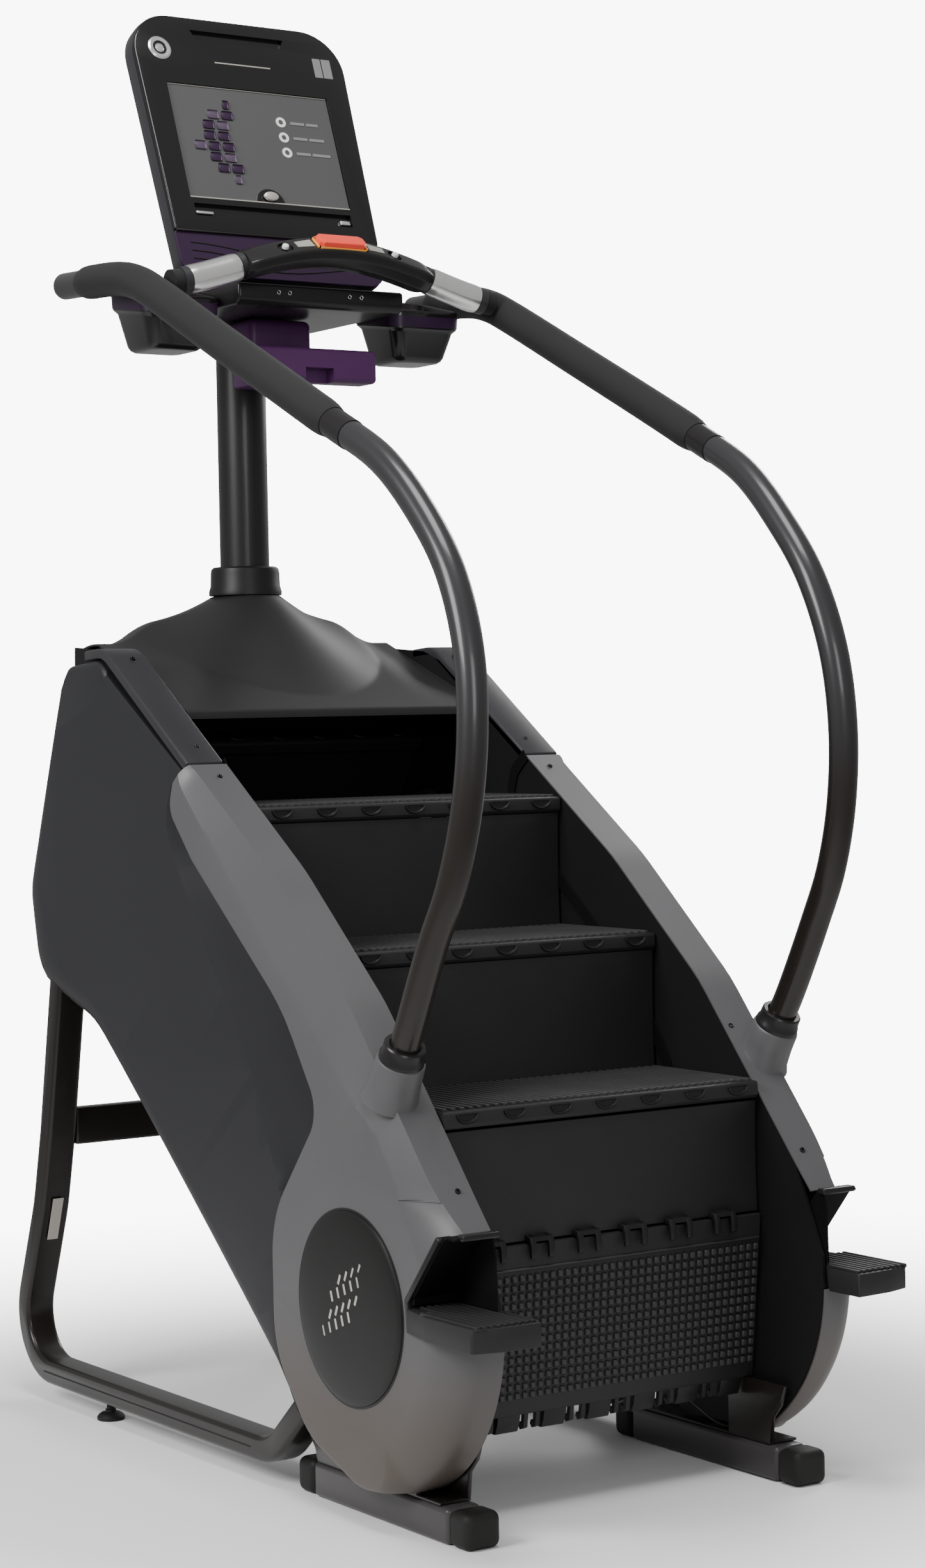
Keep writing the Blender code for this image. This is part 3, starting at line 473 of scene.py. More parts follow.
def shade(obj, degrees=32):
    """Smooth shading with sharp edges above this angle."""
    bm = bmesh.new()
    bm.from_mesh(obj.data)
    limit = math.radians(degrees)
    for face in bm.faces:
        face.smooth = True
    for edge in bm.edges:
        edge.smooth = len(edge.link_faces) == 2 and edge.calc_face_angle(0) < limit
    bm.to_mesh(obj.data)
    bm.free()
    return obj


def dress(obj, material, body=ROOT, stands_for=(), degrees=32):
    """Gives a finished piece its material, smooth shading and body, and hides the imported parts it stands for."""
    obj.data.materials.clear()
    obj.data.materials.append(LOOK[material])
    shade(obj, degrees)
    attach(obj, body)
    names = [stands_for] if isinstance(stands_for, str) else stands_for
    if names:
        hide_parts(*names)
    return obj


def mirrored(obj, name):
    """A copy of an undressed piece on the machine's other side."""
    twin = bpy.data.objects.new(name, obj.data.copy())
    scene.collection.objects.link(twin)
    bm = bmesh.new()
    bm.from_mesh(twin.data)
    bm.transform(Matrix.Diagonal((-1, 1, 1, 1)))
    bmesh.ops.reverse_faces(bm, faces=bm.faces)
    bm.to_mesh(twin.data)
    bm.free()
    return twin


def dress_pair(obj, stem, material, node=None, degrees=32, body=ROOT):
    """Dresses a right-hand piece and its mirror image."""
    obj.name = f"{stem}_right"
    twin = mirrored(obj, f"{stem}_left")
    for side, piece in (("right", obj), ("left", twin)):
        dress(piece, material, body, f"{node}_{side}" if node else (), degrees)
    return obj, twin


def joined_mesh(name, parts):
    """Several pieces as one object."""
    bm = bmesh.new()
    for part in parts:
        part.data.transform(part.matrix_world)
        bm.from_mesh(part.data)
        bpy.data.objects.remove(part)
    obj = new_mesh(name)
    bm.to_mesh(obj.data)
    bm.free()
    return obj


# ---------------------------------------------------------------- side covers

FRONT_ARC = arc(LOWER_SHAFT, 0.260, 172, 248, 40)
STRIP_LINE = [(0.077, 1.043, 0), (-0.150, 0.889, 0.4), (-0.360, 0.712, 0.3), (-0.574, 0.465, 0.1)]
COVER_BACK = [
    (-0.385, 0.052, 0.10), (-0.252, 0.100, 0.12), (-0.160, 0.210, 0.15), (-0.160, 0.400, 0.15),
    (-0.296, 0.560, 0.05), (-0.202, 0.696, 0.30), (0.054, 0.900, 0.08), (0.124, 0.975, 0.04), (0.108, 1.018, 0.01),
]
PANEL_BACK = [
    (0.349, 1.204, 0.04), (0.462, 1.196, 0.04), (0.505, 1.160, 0.04), (0.580, 0.995, 0), (0.660, 0.825, 0.05),
    (0.632, 0.690, 0.07), (0.430, 0.632, 0.20), (0.211, 0.462, 0), (-0.235, 0.0975, 0),
]
PANEL_CORNER = (0.0945, 1.0308)


def clearance(points, steps):
    """How far each point can move inwards before it meets the outline's other side."""
    found = []
    sides = list(zip(points, points[1:] + points[:1]))
    for i, here in enumerate(points):
        ahead = steps[i].normalized()
        best = 1.0
        for a, b in sides:
            if here in (a, b):
                continue
            side, to = b - a, a - here
            cross = ahead.x * side.y - ahead.y * side.x
            if abs(cross) < 1e-12:
                continue
            reach = (to.x * side.y - to.y * side.x) / cross
            share = (to.x * ahead.y - to.y * ahead.x) / cross
            if reach > 1e-6 and -1e-9 <= share <= 1 + 1e-9:
                best = min(best, reach)
        found.append(best)
    return found


def cover_skin(name, points, targets, rows):
    """Curved cover from its rim to its flat face: rows[i] lists (x, share of the way to the target)."""
    rings = []
    for k in range(len(rows[0])):
        rings.append([(rows[i][k][0], *p.lerp(targets[i], rows[i][k][1])) for i, p in enumerate(points)])
    bm = bmesh.new()
    verts = [[bm.verts.new(p) for p in ring] for ring in rings]
    count = len(points)
    for lower, upper in zip(verts, verts[1:]):
        for i in range(count):
            j = (i + 1) % count
            bm.faces.new((lower[i], lower[j], upper[j], upper[i]))
    area = sum(p.x * q.y - q.x * p.y for p, q in zip(points, points[1:] + points[:1]))
    face = bm.faces.new(verts[-1] if area > 0 else verts[-1][::-1])
    face.normal_update()
    if area < 0:
        bmesh.ops.reverse_faces(bm, faces=[f for f in bm.faces if f is not face])
    bmesh.ops.reverse_faces(bm, faces=[f for f in bm.faces if f is not face])
    bmesh.ops.triangulate(bm, faces=[face])
    bmesh.ops.recalc_face_normals(bm, faces=bm.faces)
    if max(bm.faces, key=lambda f: f.calc_center_median().x).normal.x < 0:
        bmesh.ops.reverse_faces(bm, faces=bm.faces)
    return to_mesh(bm, new_mesh(name), outward=False)


def cut_window(obj, corners, x_limit=1.0):
    """Removes the part of an open skin that lies inside a convex polygon in (y, z), up to x_limit."""
    corners = [Vector(c) for c in corners]
    middle = sum(corners, Vector((0, 0))) / len(corners)
    bm = bmesh.new()
    bm.from_mesh(obj.data)
    planes = []
    for a, b in zip(corners, corners[1:] + corners[:1]):
        side = b - a
        normal = Vector((side.y, -side.x)).normalized()
        if normal.dot(middle - a) > 0:
            normal = -normal
        planes.append((a, normal))
        bmesh.ops.bisect_plane(bm, geom=bm.verts[:] + bm.edges[:] + bm.faces[:], dist=1e-6,
                               plane_co=(0, a.x, a.y), plane_no=(0, normal.x, normal.y))
    gone = []
    for face in bm.faces:
        c = face.calc_center_median()
        if c.x < x_limit and all(normal.dot(Vector((c.y, c.z)) - a) < 1e-6 for a, normal in planes):
            gone.append(face)
    bmesh.ops.delete(bm, geom=gone, context="FACES")
    bm.to_mesh(obj.data)
    bm.free()
    return obj


def nearness(points, path, reach=0.001):
    """1 for each point on the path, 0 for the others."""
    found = []
    for p in points:
        near = min(((p - a) - (b - a) * max(0, min(1, (p - a).dot(b - a) / (b - a).length_squared))).length
                   for a, b in zip(path, path[1:]))
        found.append(1.0 if near < reach else 0.0)
    return found


def eased(value, low, high):
    t = max(0.0, min(1.0, (value - low) / (high - low)))
    return t * t * (3 - 2 * t)


def along_path(path, share):
    """The point this share of the way along a path."""
    lengths = [(b - a).length for a, b in zip(path, path[1:])]
    left = share * sum(lengths)
    for a, b, length in zip(path, path[1:], lengths):
        if left <= length:
            return a.lerp(b, left / length if length else 0)
        left -= length
    return path[-1].copy()


def cover_points():
    front = filleted(STRIP_LINE + [(-0.634, 0.398, 0.04), (*FRONT_ARC[0], 0)], closed=False) + FRONT_ARC[1:]
    back = filleted([(*FRONT_ARC[-1], 0), *COVER_BACK, STRIP_LINE[0]], closed=False)[1:-1]
    return front, back


def path_share(path, p):
    """How far along a path its nearest point to p is, from 0 to 1."""
    total, best, found = 0.0, 1e9, 0.0
    for a, b in zip(path, path[1:]):
        side = b - a
        t = max(0.0, min(1.0, (p - a).dot(side) / side.length_squared))
        away = (p - a.lerp(b, t)).length
        if away < best:
            best, found = away, total + t * side.length
        total += side.length
    return found / total


def rounded_in(shifts, rounds):
    for _ in range(rounds):
        shifts = [(shifts[i - 1] + 2 * shifts[i] + shifts[(i + 1) % len(shifts)]) / 4 for i in range(len(shifts))]
    return shifts


def edge_rows(rim, starts, face, crisp):
    """Section of a cover at each outline point: a wall from rim to start, then a facet or a round up to the face."""
    rows = []
    for start, sharp in zip(starts, crisp):
        row = [(rim, 0.0), (rim + 0.0005, 0.0)]
        for k in range(9):
            u = k / 8
            round_x = start + (face - start) * math.sin(u * math.pi / 2)
            round_share = 1 - math.cos(u * math.pi / 2)
            row.append((round_x * (1 - sharp) + (start + (face - start) * u) * sharp,
                        round_share * (1 - sharp) + u * sharp))
        rows.append(row)
    return rows


COVER_CREASE = [
    (0.090, 1.027), (0.076, 1.008), (0.010, 0.945), (-0.043, 0.890), (-0.161, 0.776), (-0.268, 0.684), (-0.330, 0.628),
    (-0.384, 0.586), (-0.430, 0.560), (-0.470, 0.510), (-0.505, 0.462),
]


def make_grey_covers():
    front, back = cover_points()
    points = spaced(front + back, 0.012)
    steps = inward(points)
    room = clearance(points, steps)
    on_front = nearness(points, [Vector(q) for q in front], 0.0015)
    strip = [Vector(q) for q in front if q.y > 0.465]
    crease = [p.to_2d() for p in smooth_path([(y, z, 0) for y, z in COVER_CREASE], 6)]
    low = [eased(-p.y, -0.50, -0.36) for p in points]
    shifts = []
    for i, p in enumerate(points):
        if on_front[i] and p.y > 0.42:
            shifts.append(along_path(crease, path_share(strip, p)) - p)
        elif on_front[i]:
            shifts.append(steps[i] * min(0.072, 0.40 * room[i]))
        else:
            shifts.append(steps[i] * min(0.009, 0.40 * room[i]))
    shifts = rounded_in(shifts, 3)
    share = softened(on_front, 3)
    targets = [p + shift for p, shift in zip(points, shifts)]
    starts = softened([(0.3330 * (1 - w) + 0.3020 * w) if f else 0.3440 for f, w in zip(on_front, low)], 4)
    crisp = [f * (1 - w) for f, w in zip(share, low)]
    cover = cover_skin("cover", points, targets, edge_rows(0.2735, starts, 0.352, crisp))
    cut_window(cover, [(-0.76, 0.2885), (-0.5220, 0.2885), (-0.5180, 0.330), (-0.6020, 0.4255), (-0.76, 0.4255)])
    solid(cover, 0.0024)
    dress_pair(cover, "grey_cover", "grey", "lower_cover", 22)
    plate = [(-0.466, 0.0525), (-0.206, 0.0525), (-0.200, 0.070), (-0.186, 0.085), (-0.226, 0.120), (-0.240, 0.160),
             (-0.300, 0.150), (-0.466, 0.110)]
    outer = rounded(prism("outer", plate, 0.3005, 0.3090), 0.0015, 2)
    dress_pair(outer, "cover_bracket", "foot")
    plate = [(-0.525, 0.0525), (-0.430, 0.0525), (-0.430, 0.140), (-0.560, 0.140), (-0.548, 0.110), (-0.530, 0.090)]
    inner = rounded(prism("inner", plate, 0.2580, 0.2660), 0.0015, 2)
    foot = block("foot_plate", (0.2580, -0.525, 0.0503), (0.3085, -0.206, 0.0545), 0.001, 1)
    dress_pair(joined_mesh("inner_bracket", [inner, foot]), "cover_bracket_inner", "frame")


def make_bosses():
    base, above = Vector((0.3235, -0.4690, 0.6360)), Vector((0.3270, -0.5080, 0.7000))
    lean = (above - base).normalized()
    turn = Vector((0, 0, 1)).rotation_difference(lean).to_matrix().to_4x4()
    place = Matrix.Translation(base + lean * 0.004) @ turn
    boss = turned("boss", [(0, 0.009), (0.0315, 0.009), (0.0335, 0.0075), (0.0345, 0.004), (0.0352, -0.020),
                           (0.0375, -0.045), (0.0420, -0.058), (0, -0.058)], 48, place)
    dress_pair(boss, "rail_boss", "grey")
    inner = 0.0222
    collar = turned("collar", [(inner, 0.034), (0.0275, 0.034), (0.0292, 0.032), (0.0298, 0.018), (0.0318, 0.015),
                               (0.0322, 0.0095), (inner, 0.0095)], 48, place, ring=True)
    dress_pair(collar, "rail_collar_ring", "satin", "rail_collar")


def screw(name, place, radius=0.0042):
    return turned(name, [(0, -0.0004), (0.0018, -0.0004), (0.0022, 0.0006), (radius * 0.8, 0.0012), (radius, 0.0004),
                         (radius, -0.003), (0, -0.003)], 20, place)


def facing(point, normal):
    turn = Vector((0, 0, 1)).rotation_difference(Vector(normal).normalized()).to_matrix().to_4x4()
    return Matrix.Translation(point) @ turn


def make_cover_screws():
    spots = [
        ((0.296, -0.6275, 0.242), (0, -1, -0.24)), ((0.296, -0.5650, 0.4770), (0, -0.76, 0.65)),
        ((0.300, 0.050, 1.0255), (0, -0.56, 0.83)), ((0.300, 0.118, 1.0700), (0, -0.56, 0.83)),
        ((0.300, 0.318, 1.2080), (0, -0.56, 0.83)), ((0.286, -0.4180, 0.6455), (0, -0.76, 0.65)),
    ]
    parts = [screw(f"screw_{i}", facing(p, n)) for i, (p, n) in enumerate(spots)]
    dress_pair(joined_mesh("cover_screws", parts), "cover_screws", "screw")


PANEL_CREASE = [
    (-0.190, 0.360), (-0.180, 0.420), (-0.150, 0.494), (-0.131, 0.535), (-0.092, 0.617), (-0.044, 0.686),
    (0.016, 0.756), (0.064, 0.822), (0.102, 0.878), (0.132, 0.925), (0.140, 0.972), (0.119, 1.019),
]
PANEL_FLAT = [
    (0.470, 1.186), (0.512, 1.080), (0.563, 0.926), (0.576, 0.865), (0.566, 0.785), (0.535, 0.730), (0.482, 0.701),
    (0.401, 0.672), (0.347, 0.635), (0.236, 0.543), (0.000, 0.345), (-0.150, 0.212),
]


def make_side_panels():
    front = beside(filleted([*COVER_BACK[1:], STRIP_LINE[0]], closed=False), -0.0015)
    first = next(i for i, p in enumerate(front) if p.y > PANEL_BACK[-1][1] + 0.020)
    edge = front[first:-1] + [Vector(PANEL_CORNER)]
    back = filleted(PANEL_BACK)
    points = spaced(back + edge, 0.012)
    steps = inward(points)
    room = clearance(points, steps)
    turn = next(i for i, p in enumerate(edge) if p.y > 0.345)
    band_edge = edge[turn:]
    corner = next(i for i, p in enumerate(back) if p.x > 0.470)
    flank_edge = back[corner:]
    band = nearness(points, band_edge)
    top = nearness(points, [edge[-1], back[0], back[corner]])
    flank = nearness(points, flank_edge)
    crease = [p.to_2d() for p in smooth_path([(y, z, 0) for y, z in PANEL_CREASE], 6)]
    flat = [p.to_2d() for p in smooth_path([(y, z, 0) for y, z in PANEL_FLAT], 6)]
    shifts, starts = [], []
    for i, p in enumerate(points):
        if top[i]:
            shift, start = steps[i] * 0.016 * eased(0.42 - p.x, 0.0, 0.10), 0.3374
        elif band[i]:
            share = path_share(band_edge, p)
            shift, start = along_path(crease, share) - p, 0.3130 + 0.0244 * eased(share, 0.75, 0.98)
        elif flank[i]:
            shift, start = along_path(flat, path_share(flank_edge, p)) - p, 0.2940
        else:
            shift, start = steps[i] * min(0.010, 0.35 * room[i]), 0.3356
        shifts.append(shift)
        starts.append(start)
    targets = [p + shift for p, shift in zip(points, rounded_in(shifts, 4))]
    crisp = softened([max(a, b) for a, b in zip(band, top)], 3)
    panel = cover_skin("panel", points, targets, edge_rows(0.2815, softened(starts, 4), 0.341, crisp))
    cut_window(panel, [(0.505, 0.60), (0.60, 0.60), (0.60, 0.78), (0.505, 0.78)], 0.330)
    cut_window(panel, [(-0.262, 0.065), (-0.11, 0.065), (-0.11, 0.23), (-0.262, 0.23)], 0.330)
    solid(panel, 0.0022)
    dress_pair(panel, "side_panel_shell", "panel", "side_panel", 14)
    # near-black strip behind the seam between grey cover and panel: painted shade in the seam
    backing = prism("backing", ribbon([p for p in front if p.y > 0.250], 0.010), 0.2717, 0.2731)
    dress_pair(backing, "seam_backing", "painted_shade")
    lip_line = filleted([(0.656, 0.835, 0), (0.660, 0.800, 0.04), (0.627, 0.6935, 0.066), (0.428, 0.6355, 0.20),
                         (0.211, 0.4670, 0), (-0.200, 0.1310, 0)], closed=False)
    lip = prism("lip", ribbon(beside(lip_line, -0.004), 0.0022), 0.2860, 0.3090)
    cut_window(lip, [(0.500, 0.60), (0.605, 0.60), (0.605, 0.80), (0.500, 0.80)])
    rounded(lip, 0.0008, 1)
    dress_pair(lip, "panel_lip", "black")


def make_top_strips():
    line = filleted([(0.086, 1.039, 0), (0.349, 1.217, 0.06), (0.4100, 1.2130, 0)], closed=False)
    strip = prism("strip", ribbon(line, 0.0078), 0.2745, 0.3385)
    rounded(strip, 0.0032)
    dress_pair(strip, "top_strip_cap", "strip", "top_strip")


def make_wheel_covers():
    place = Matrix.Translation((0.3524, *LOWER_SHAFT)) @ Matrix.Rotation(math.pi / 2, 4, "Y")
    disc = turned("disc", [(0, 0.0088), (0.060, 0.0084), (0.100, 0.0068), (0.124, 0.0046), (0.1305, 0.0034),
                           (0.1335, 0.0016), (0.1340, 0.0), (0, 0.0)], 96, place)
    dress_pair(disc, "wheel_disc", "disc", "wheel_cover")
    ring = turned("ring", [(0.1342, 0.0002), (0.1372, 0.0002), (0.1372, -0.0030), (0.1342, -0.0030)], 96, place,
                  ring=True)
    dress_pair(ring, "wheel_seam", "black")
    dashes = []
    for row, (shift, count) in enumerate(((0.0, 5), (0.012, 5), (0.0, 5), (0.014, 4))):
        for k in range(count):
            y = -0.040 + 0.017 * k + shift * 0.6 + 0.012 * (row - 1.5)
            z = -0.038 + 0.0255 * row + 0.007 * k
            reach = math.hypot(y, z) / 0.134
            spot = Matrix.Translation((0.3524 + 0.0088 - 0.0052 * reach**2, LOWER_SHAFT[0] - y, LOWER_SHAFT[1] + z))
            tilt = Matrix.Rotation(math.radians(24 if row % 2 else -18), 4, "X")
            dashes.append(block(f"dash_{row}_{k}", (-0.0005, -0.0022, -0.0075), (0.0008, 0.0022, 0.0075), 0.0006, 1,
                                spot @ tilt))
    dress_pair(joined_mesh("dashes", dashes), "wheel_dashes", "satin_silver")


# ---------------------------------------------------------------- foot platforms


def make_platforms():
    low, top = 0.289, 0.325
    outline = [(0.282, -0.530), (0.282, -0.642), (0.269, -0.650), (0.269, -0.7135), (0.2705, -0.715),
               (0.330, -0.7115), (0.3665, -0.7010), (0.369, -0.6975), (0.369, -0.5900), (0.3660, -0.5800),
               (0.3560, -0.5260), (0.3535, -0.5235)]
    base = loft("base", [[(x, y, z) for x, y in outline] for z in (low, top - 0.004)])
    rounded(base, 0.0016, 2)
    ribs = [base]
    for k in range(9):
        x = 0.2755 + 0.0108 * k
        back = -0.5380 if x < 0.350 else -0.5720
        first = -0.6440 if x < 0.284 else back
        ribs.append(block(f"rib_{k}", (x - 0.0030, -0.7080 + 0.05 * max(0, x - 0.33), top - 0.0060),
                          (x + 0.0030, first, top), 0.0016, 2))
    base = joined_mesh("platform", ribs)
    dress_pair(base, "platform_tread", "step", "foot_platform")
    # near-black walls and roof of the toe recess: painted shade inside the recess
    recess = [
        block("recess_back", (0.2815, -0.5340, 0.3250), (0.3490, -0.5280, 0.3600), 0.001, 1),
        prism("recess_slope", [(-0.5290, 0.3300), (-0.5250, 0.3330), (-0.6060, 0.4260), (-0.6100, 0.4230)],
              0.2815, 0.3490),
        block("recess_roof", (0.2815, -0.6260, 0.4215), (0.3430, -0.6000, 0.4250), 0.0008, 1),
        prism("recess_wall", [(-0.5280, 0.3255), (-0.5280, 0.3340), (-0.6060, 0.4240), (-0.6240, 0.4240),
                              (-0.6320, 0.4000), (-0.6335, 0.3255)], 0.2815, 0.2840),
    ]
    dress_pair(joined_mesh("recess", recess), "toe_recess", "painted_shade")
    line = filleted([(-0.5240, 0.2890, 0), (-0.5205, 0.3310, 0.006), (-0.6000, 0.4230, 0)], closed=False)
    trim = prism("trim", ribbon(line, 0.0045), 0.3300, 0.3532)
    rounded(trim, 0.0015, 2)
    dress_pair(trim, "recess_trim", "satin")
    lintel = block("lintel", (0.2760, -0.6345, 0.4215), (0.3350, -0.6190, 0.4300), 0.0025, 3)
    dress_pair(lintel, "recess_lintel", "satin")


# ---------------------------------------------------------------- rear frame and feet


def make_rear_frame():
    path = filleted([
        (0.542, 0.735, 0), (0.600, 0.440, 0.3), (0.630, 0.320, 0.3), (0.7392, 0.049, 0.09),
        (-0.110, 0.049, 0.09), (-0.215, 0.140, 0),
    ], closed=False, turn=math.radians(4))
    loop = prism("loop", ribbon(path, 0.019), 0.285, 0.335)
    rounded(loop, 0.007, 4, 50)
    dress_pair(loop, "rear_loop", "frame", "rear_frame", 40)
    # near-black groove line along the foot bar: painted shade in the groove
    groove = prism("groove", [(-0.060, 0.0485), (0.620, 0.0485), (0.620, 0.0505), (-0.060, 0.0505)], 0.3348, 0.3354)
    dress_pair(groove, "rear_groove", "inner")
    bar = block("rear_bar", (-0.2846, 0.583, 0.420), (0.2846, 0.613, 0.480), 0.005, 4)
    dress(bar, "frame", ROOT, "rear_crossbar", 40)

    foot = turned("pad", [(0, 0.0298), (0.0065, 0.0298), (0.0065, 0.0170), (0.0085, 0.0165), (0.0085, 0.0125),
                          (0.0150, 0.0115), (0.0195, 0.0085), (0.0220, 0.0050), (0.0220, 0.0010), (0.0212, 0),
                          (0, 0)], 40, Matrix.Translation((0.310, 0.432, 0)))
    dress_pair(foot, "levelling_pad", "rubber", "levelling_foot")
    foot = block("foot", (0.254, -0.545, 0), (0.310, -0.196, 0.050), 0.008, 4)
    caps = [block("cap_front", (0.2535, -0.592, 0), (0.3105, -0.5445, 0.0505), 0.012, 5),
            block("cap_back", (0.2535, -0.1965, 0), (0.3105, -0.150, 0.0505), 0.012, 5)]
    dress_pair(foot, "front_skid", "foot", "front_foot")
    dress_pair(joined_mesh("caps", caps), "skid_caps", "rubber")

    label = block("label", (0.3005, 0.0, 0.0), (0.3195, 0.0006, 0.075), 0.0003, 1)
    label.data.transform(Matrix.Translation((0, 0.6285, 0.262)) @ Matrix.Rotation(math.radians(20.5), 4, "X"))
    label.data.transform(Matrix.Diagonal((-1, 1, 1, 1)))
    label.data.flip_normals()
    dress(label, "label", ROOT)


# ---------------------------------------------------------------- steps


TREAD_EDGE = [(0.0010, -0.0050), (0.0030, -0.0022), (0.0090, -0.0015), (0.243, -0.0025), (0.243, -0.018),
              (0.030, -0.018), (0.022, -0.026), (0.004, -0.026), (0.0004, -0.021)]


def make_tread(name, node, body, place):
    """Tread with lengthwise ribs and half-round tabs under its front edge; that edge is at the origin."""
    slab = rounded(prism(name, TREAD_EDGE, -STEP_HALF, STEP_HALF), 0.0012, 2, 30)
    ribs = []
    count = 38
    for k in range(count):
        x = (2 * k / (count - 1) - 1) * (STEP_HALF - 0.0085)
        ribs.append(block("rib", (x - 0.0036, 0.0110, -0.0040), (x + 0.0036, 0.2415, 0.0022), 0.0016, 2))
    tabs = [rounded_tab("tab", -0.234 + 0.078 * k) for k in range(7)]
    for piece in (slab, ribs := joined_mesh(f"{name}_ribs", ribs), tabs := joined_mesh(f"{name}_tabs", tabs)):
        piece.data.transform(place)
    dress(slab, "step", body, node, 40)
    dress(ribs, "step_top", body, (), 40)
    # the tabs take the black plastic as painted shade: their darkness stands for the shadow under the tread's front
    # edge
    dress(tabs, "black", body, (), 50)


def rounded_tab(name, x):
    """Half-round tab below the tread's front edge, with a thin rolled lower lip."""
    outer = [(x + 0.0185 * math.cos(a), -0.0065 + 0.0135 * math.sin(a))
             for a in (math.radians(180 + 15 * k) for k in range(13))]
    rings = []
    for depth, shrink in ((0.0030, 0.0), (-0.0012, 0.0), (-0.0024, 0.0012), (-0.0018, 0.0032), (0.0000, 0.0045)):
        rings.append([(x + (u - x) * (1 - shrink / 0.0185), depth, -0.0065 + (v + 0.0065) * (1 - shrink / 0.0135))
                      for u, v in outer])
    return loft(name, rings)


def make_riser(name, node, body, nose, foot, top=-0.0268):
    """Riser whose face is hollowed a little along its middle."""
    rows = []
    count = 10
    for k in range(count + 1):
        t = k / count
        z = nose[1] + top + (-foot - top) * t
        hollow = 0.0022 * math.sin(math.pi * t)
        rows.append((nose[0] + 0.0060 + hollow, z))
    outline = rows + [(nose[0] + 0.0120, rows[-1][1]), (nose[0] + 0.0120, rows[0][1])]
    riser = prism(name, outline, -STEP_HALF + 0.001, STEP_HALF - 0.001)
    rounded(riser, 0.0010, 2, 60)
    dress(riser, "step", body, node, 40)


def knuckles(name, x_list, place):
    """Pairs of hinge hooks that reach down in front of the plate below."""
    parts = []
    for x in x_list:
        for side in (-1, 1):
            hook = prism("hook", [
                (0.0125, 0.0040), (-0.0020, 0.0020), (-0.0060, -0.0080), (-0.0062, -0.0260), (-0.0030, -0.0280),
                (-0.0008, -0.0260), (-0.0008, -0.0110), (0.0030, -0.0055), (0.0125, -0.0050),
            ], x + side * 0.0150 - 0.0048, x + side * 0.0150 + 0.0048)
            parts.append(rounded(hook, 0.0010, 2, 30))
        parts.append(prism("bridge", [(0.0125, 0.0040), (-0.0020, 0.0020), (-0.0040, -0.0040), (0.0125, -0.0040)],
                           x - 0.0150, x + 0.0150))
    obj = joined_mesh(name, parts)
    obj.data.transform(place)
    return obj


def make_front_tread():
    """The tread that is turning under at the front: ribs, cross lines and hook teeth at its lower edge."""
    place = Matrix.Translation((0, -0.474, 0.138)) @ Matrix.Rotation(math.radians(96.3), 4, "X")
    slab = rounded(prism("front_slab", TREAD_EDGE, -STEP_HALF, STEP_HALF), 0.0012, 2, 30)
    pads = [block("head_band", (-STEP_HALF + 0.002, 0.2080, -0.0040), (STEP_HALF - 0.002, 0.2110, 0.0004), 0.0008, 1)]
    count, rows, pitch = 42, 14, 0.0128
    for k in range(count):
        x = (2 * k / (count - 1) - 1) * (STEP_HALF - 0.0085)
        for j in range(rows):
            y = 0.0300 + pitch * j
            pads.append(block("pad", (x - 0.0042, y - 0.0047, -0.0040), (x + 0.0042, y + 0.0047, 0.0022), 0.0016, 1))
    teeth = []
    for k in range(7):
        x = -0.234 + 0.078 * k
        tooth = prism("tooth", [(0.006, -0.004), (-0.012, -0.006), (-0.0240, -0.010), (-0.0255, -0.018),
                                (-0.0200, -0.0235), (0.006, -0.024)], x - 0.0190, x + 0.0190)
        teeth.append(rounded(tooth, 0.0012, 2, 30))
        for side in (-1, 1):
            claw = prism("claw", [(0.004, -0.005), (-0.0190, -0.006), (-0.0235, -0.0145), (-0.0185, -0.0195),
                                  (-0.0130, -0.0175), (-0.0150, -0.0125), (0.004, -0.0120)],
                         x + side * 0.0290 - 0.0034, x + side * 0.0290 + 0.0034)
            teeth.append(claw)
    for piece, material, stands_for in ((slab, "step", "tread_front"), (joined_mesh("front_pads", pads), "step_top", ()),
                                        (joined_mesh("front_teeth", teeth), "black", ())):
        piece.data.transform(place)
        dress(piece, material, "tread_front", stands_for, 40)


def make_steps():
    for i, name in enumerate(("lower", "middle", "upper")):
        nose = (NOSE_LOW[0] + i * RUN, NOSE_LOW[1] + i * RISE)
        make_tread(f"step_{name}", f"tread_{name}", "step_flight", Matrix.Translation((0, *nose)))
    make_riser("riser_face_middle", "riser_middle", "step_flight", (NOSE_LOW[0] + RUN, NOSE_LOW[1] + RISE), 0.220)
    make_riser("riser_face_upper", "riser_upper", "step_flight", (NOSE_LOW[0] + 2 * RUN, NOSE_LOW[1] + 2 * RISE), 0.220)
    make_riser("riser_face_lower", "riser_lower", "riser_lower", NOSE_LOW, 0.190, -0.030)
    hooks = knuckles("riser_hooks", [-0.20 + 0.08 * k for k in range(6)],
                     Matrix.Translation((0, NOSE_LOW[0] - 0.0045, NOSE_LOW[1] - 0.186)))
    dress(hooks, "black", "riser_lower")
    make_front_tread()
    rear = Matrix.Translation((0, 0.395, 1.086)) @ Matrix.Rotation(math.radians(-55.5), 4, "X")
    make_tread("step_rear", "tread_rear", "tread_rear", rear)


# ---------------------------------------------------------------- deck and mast


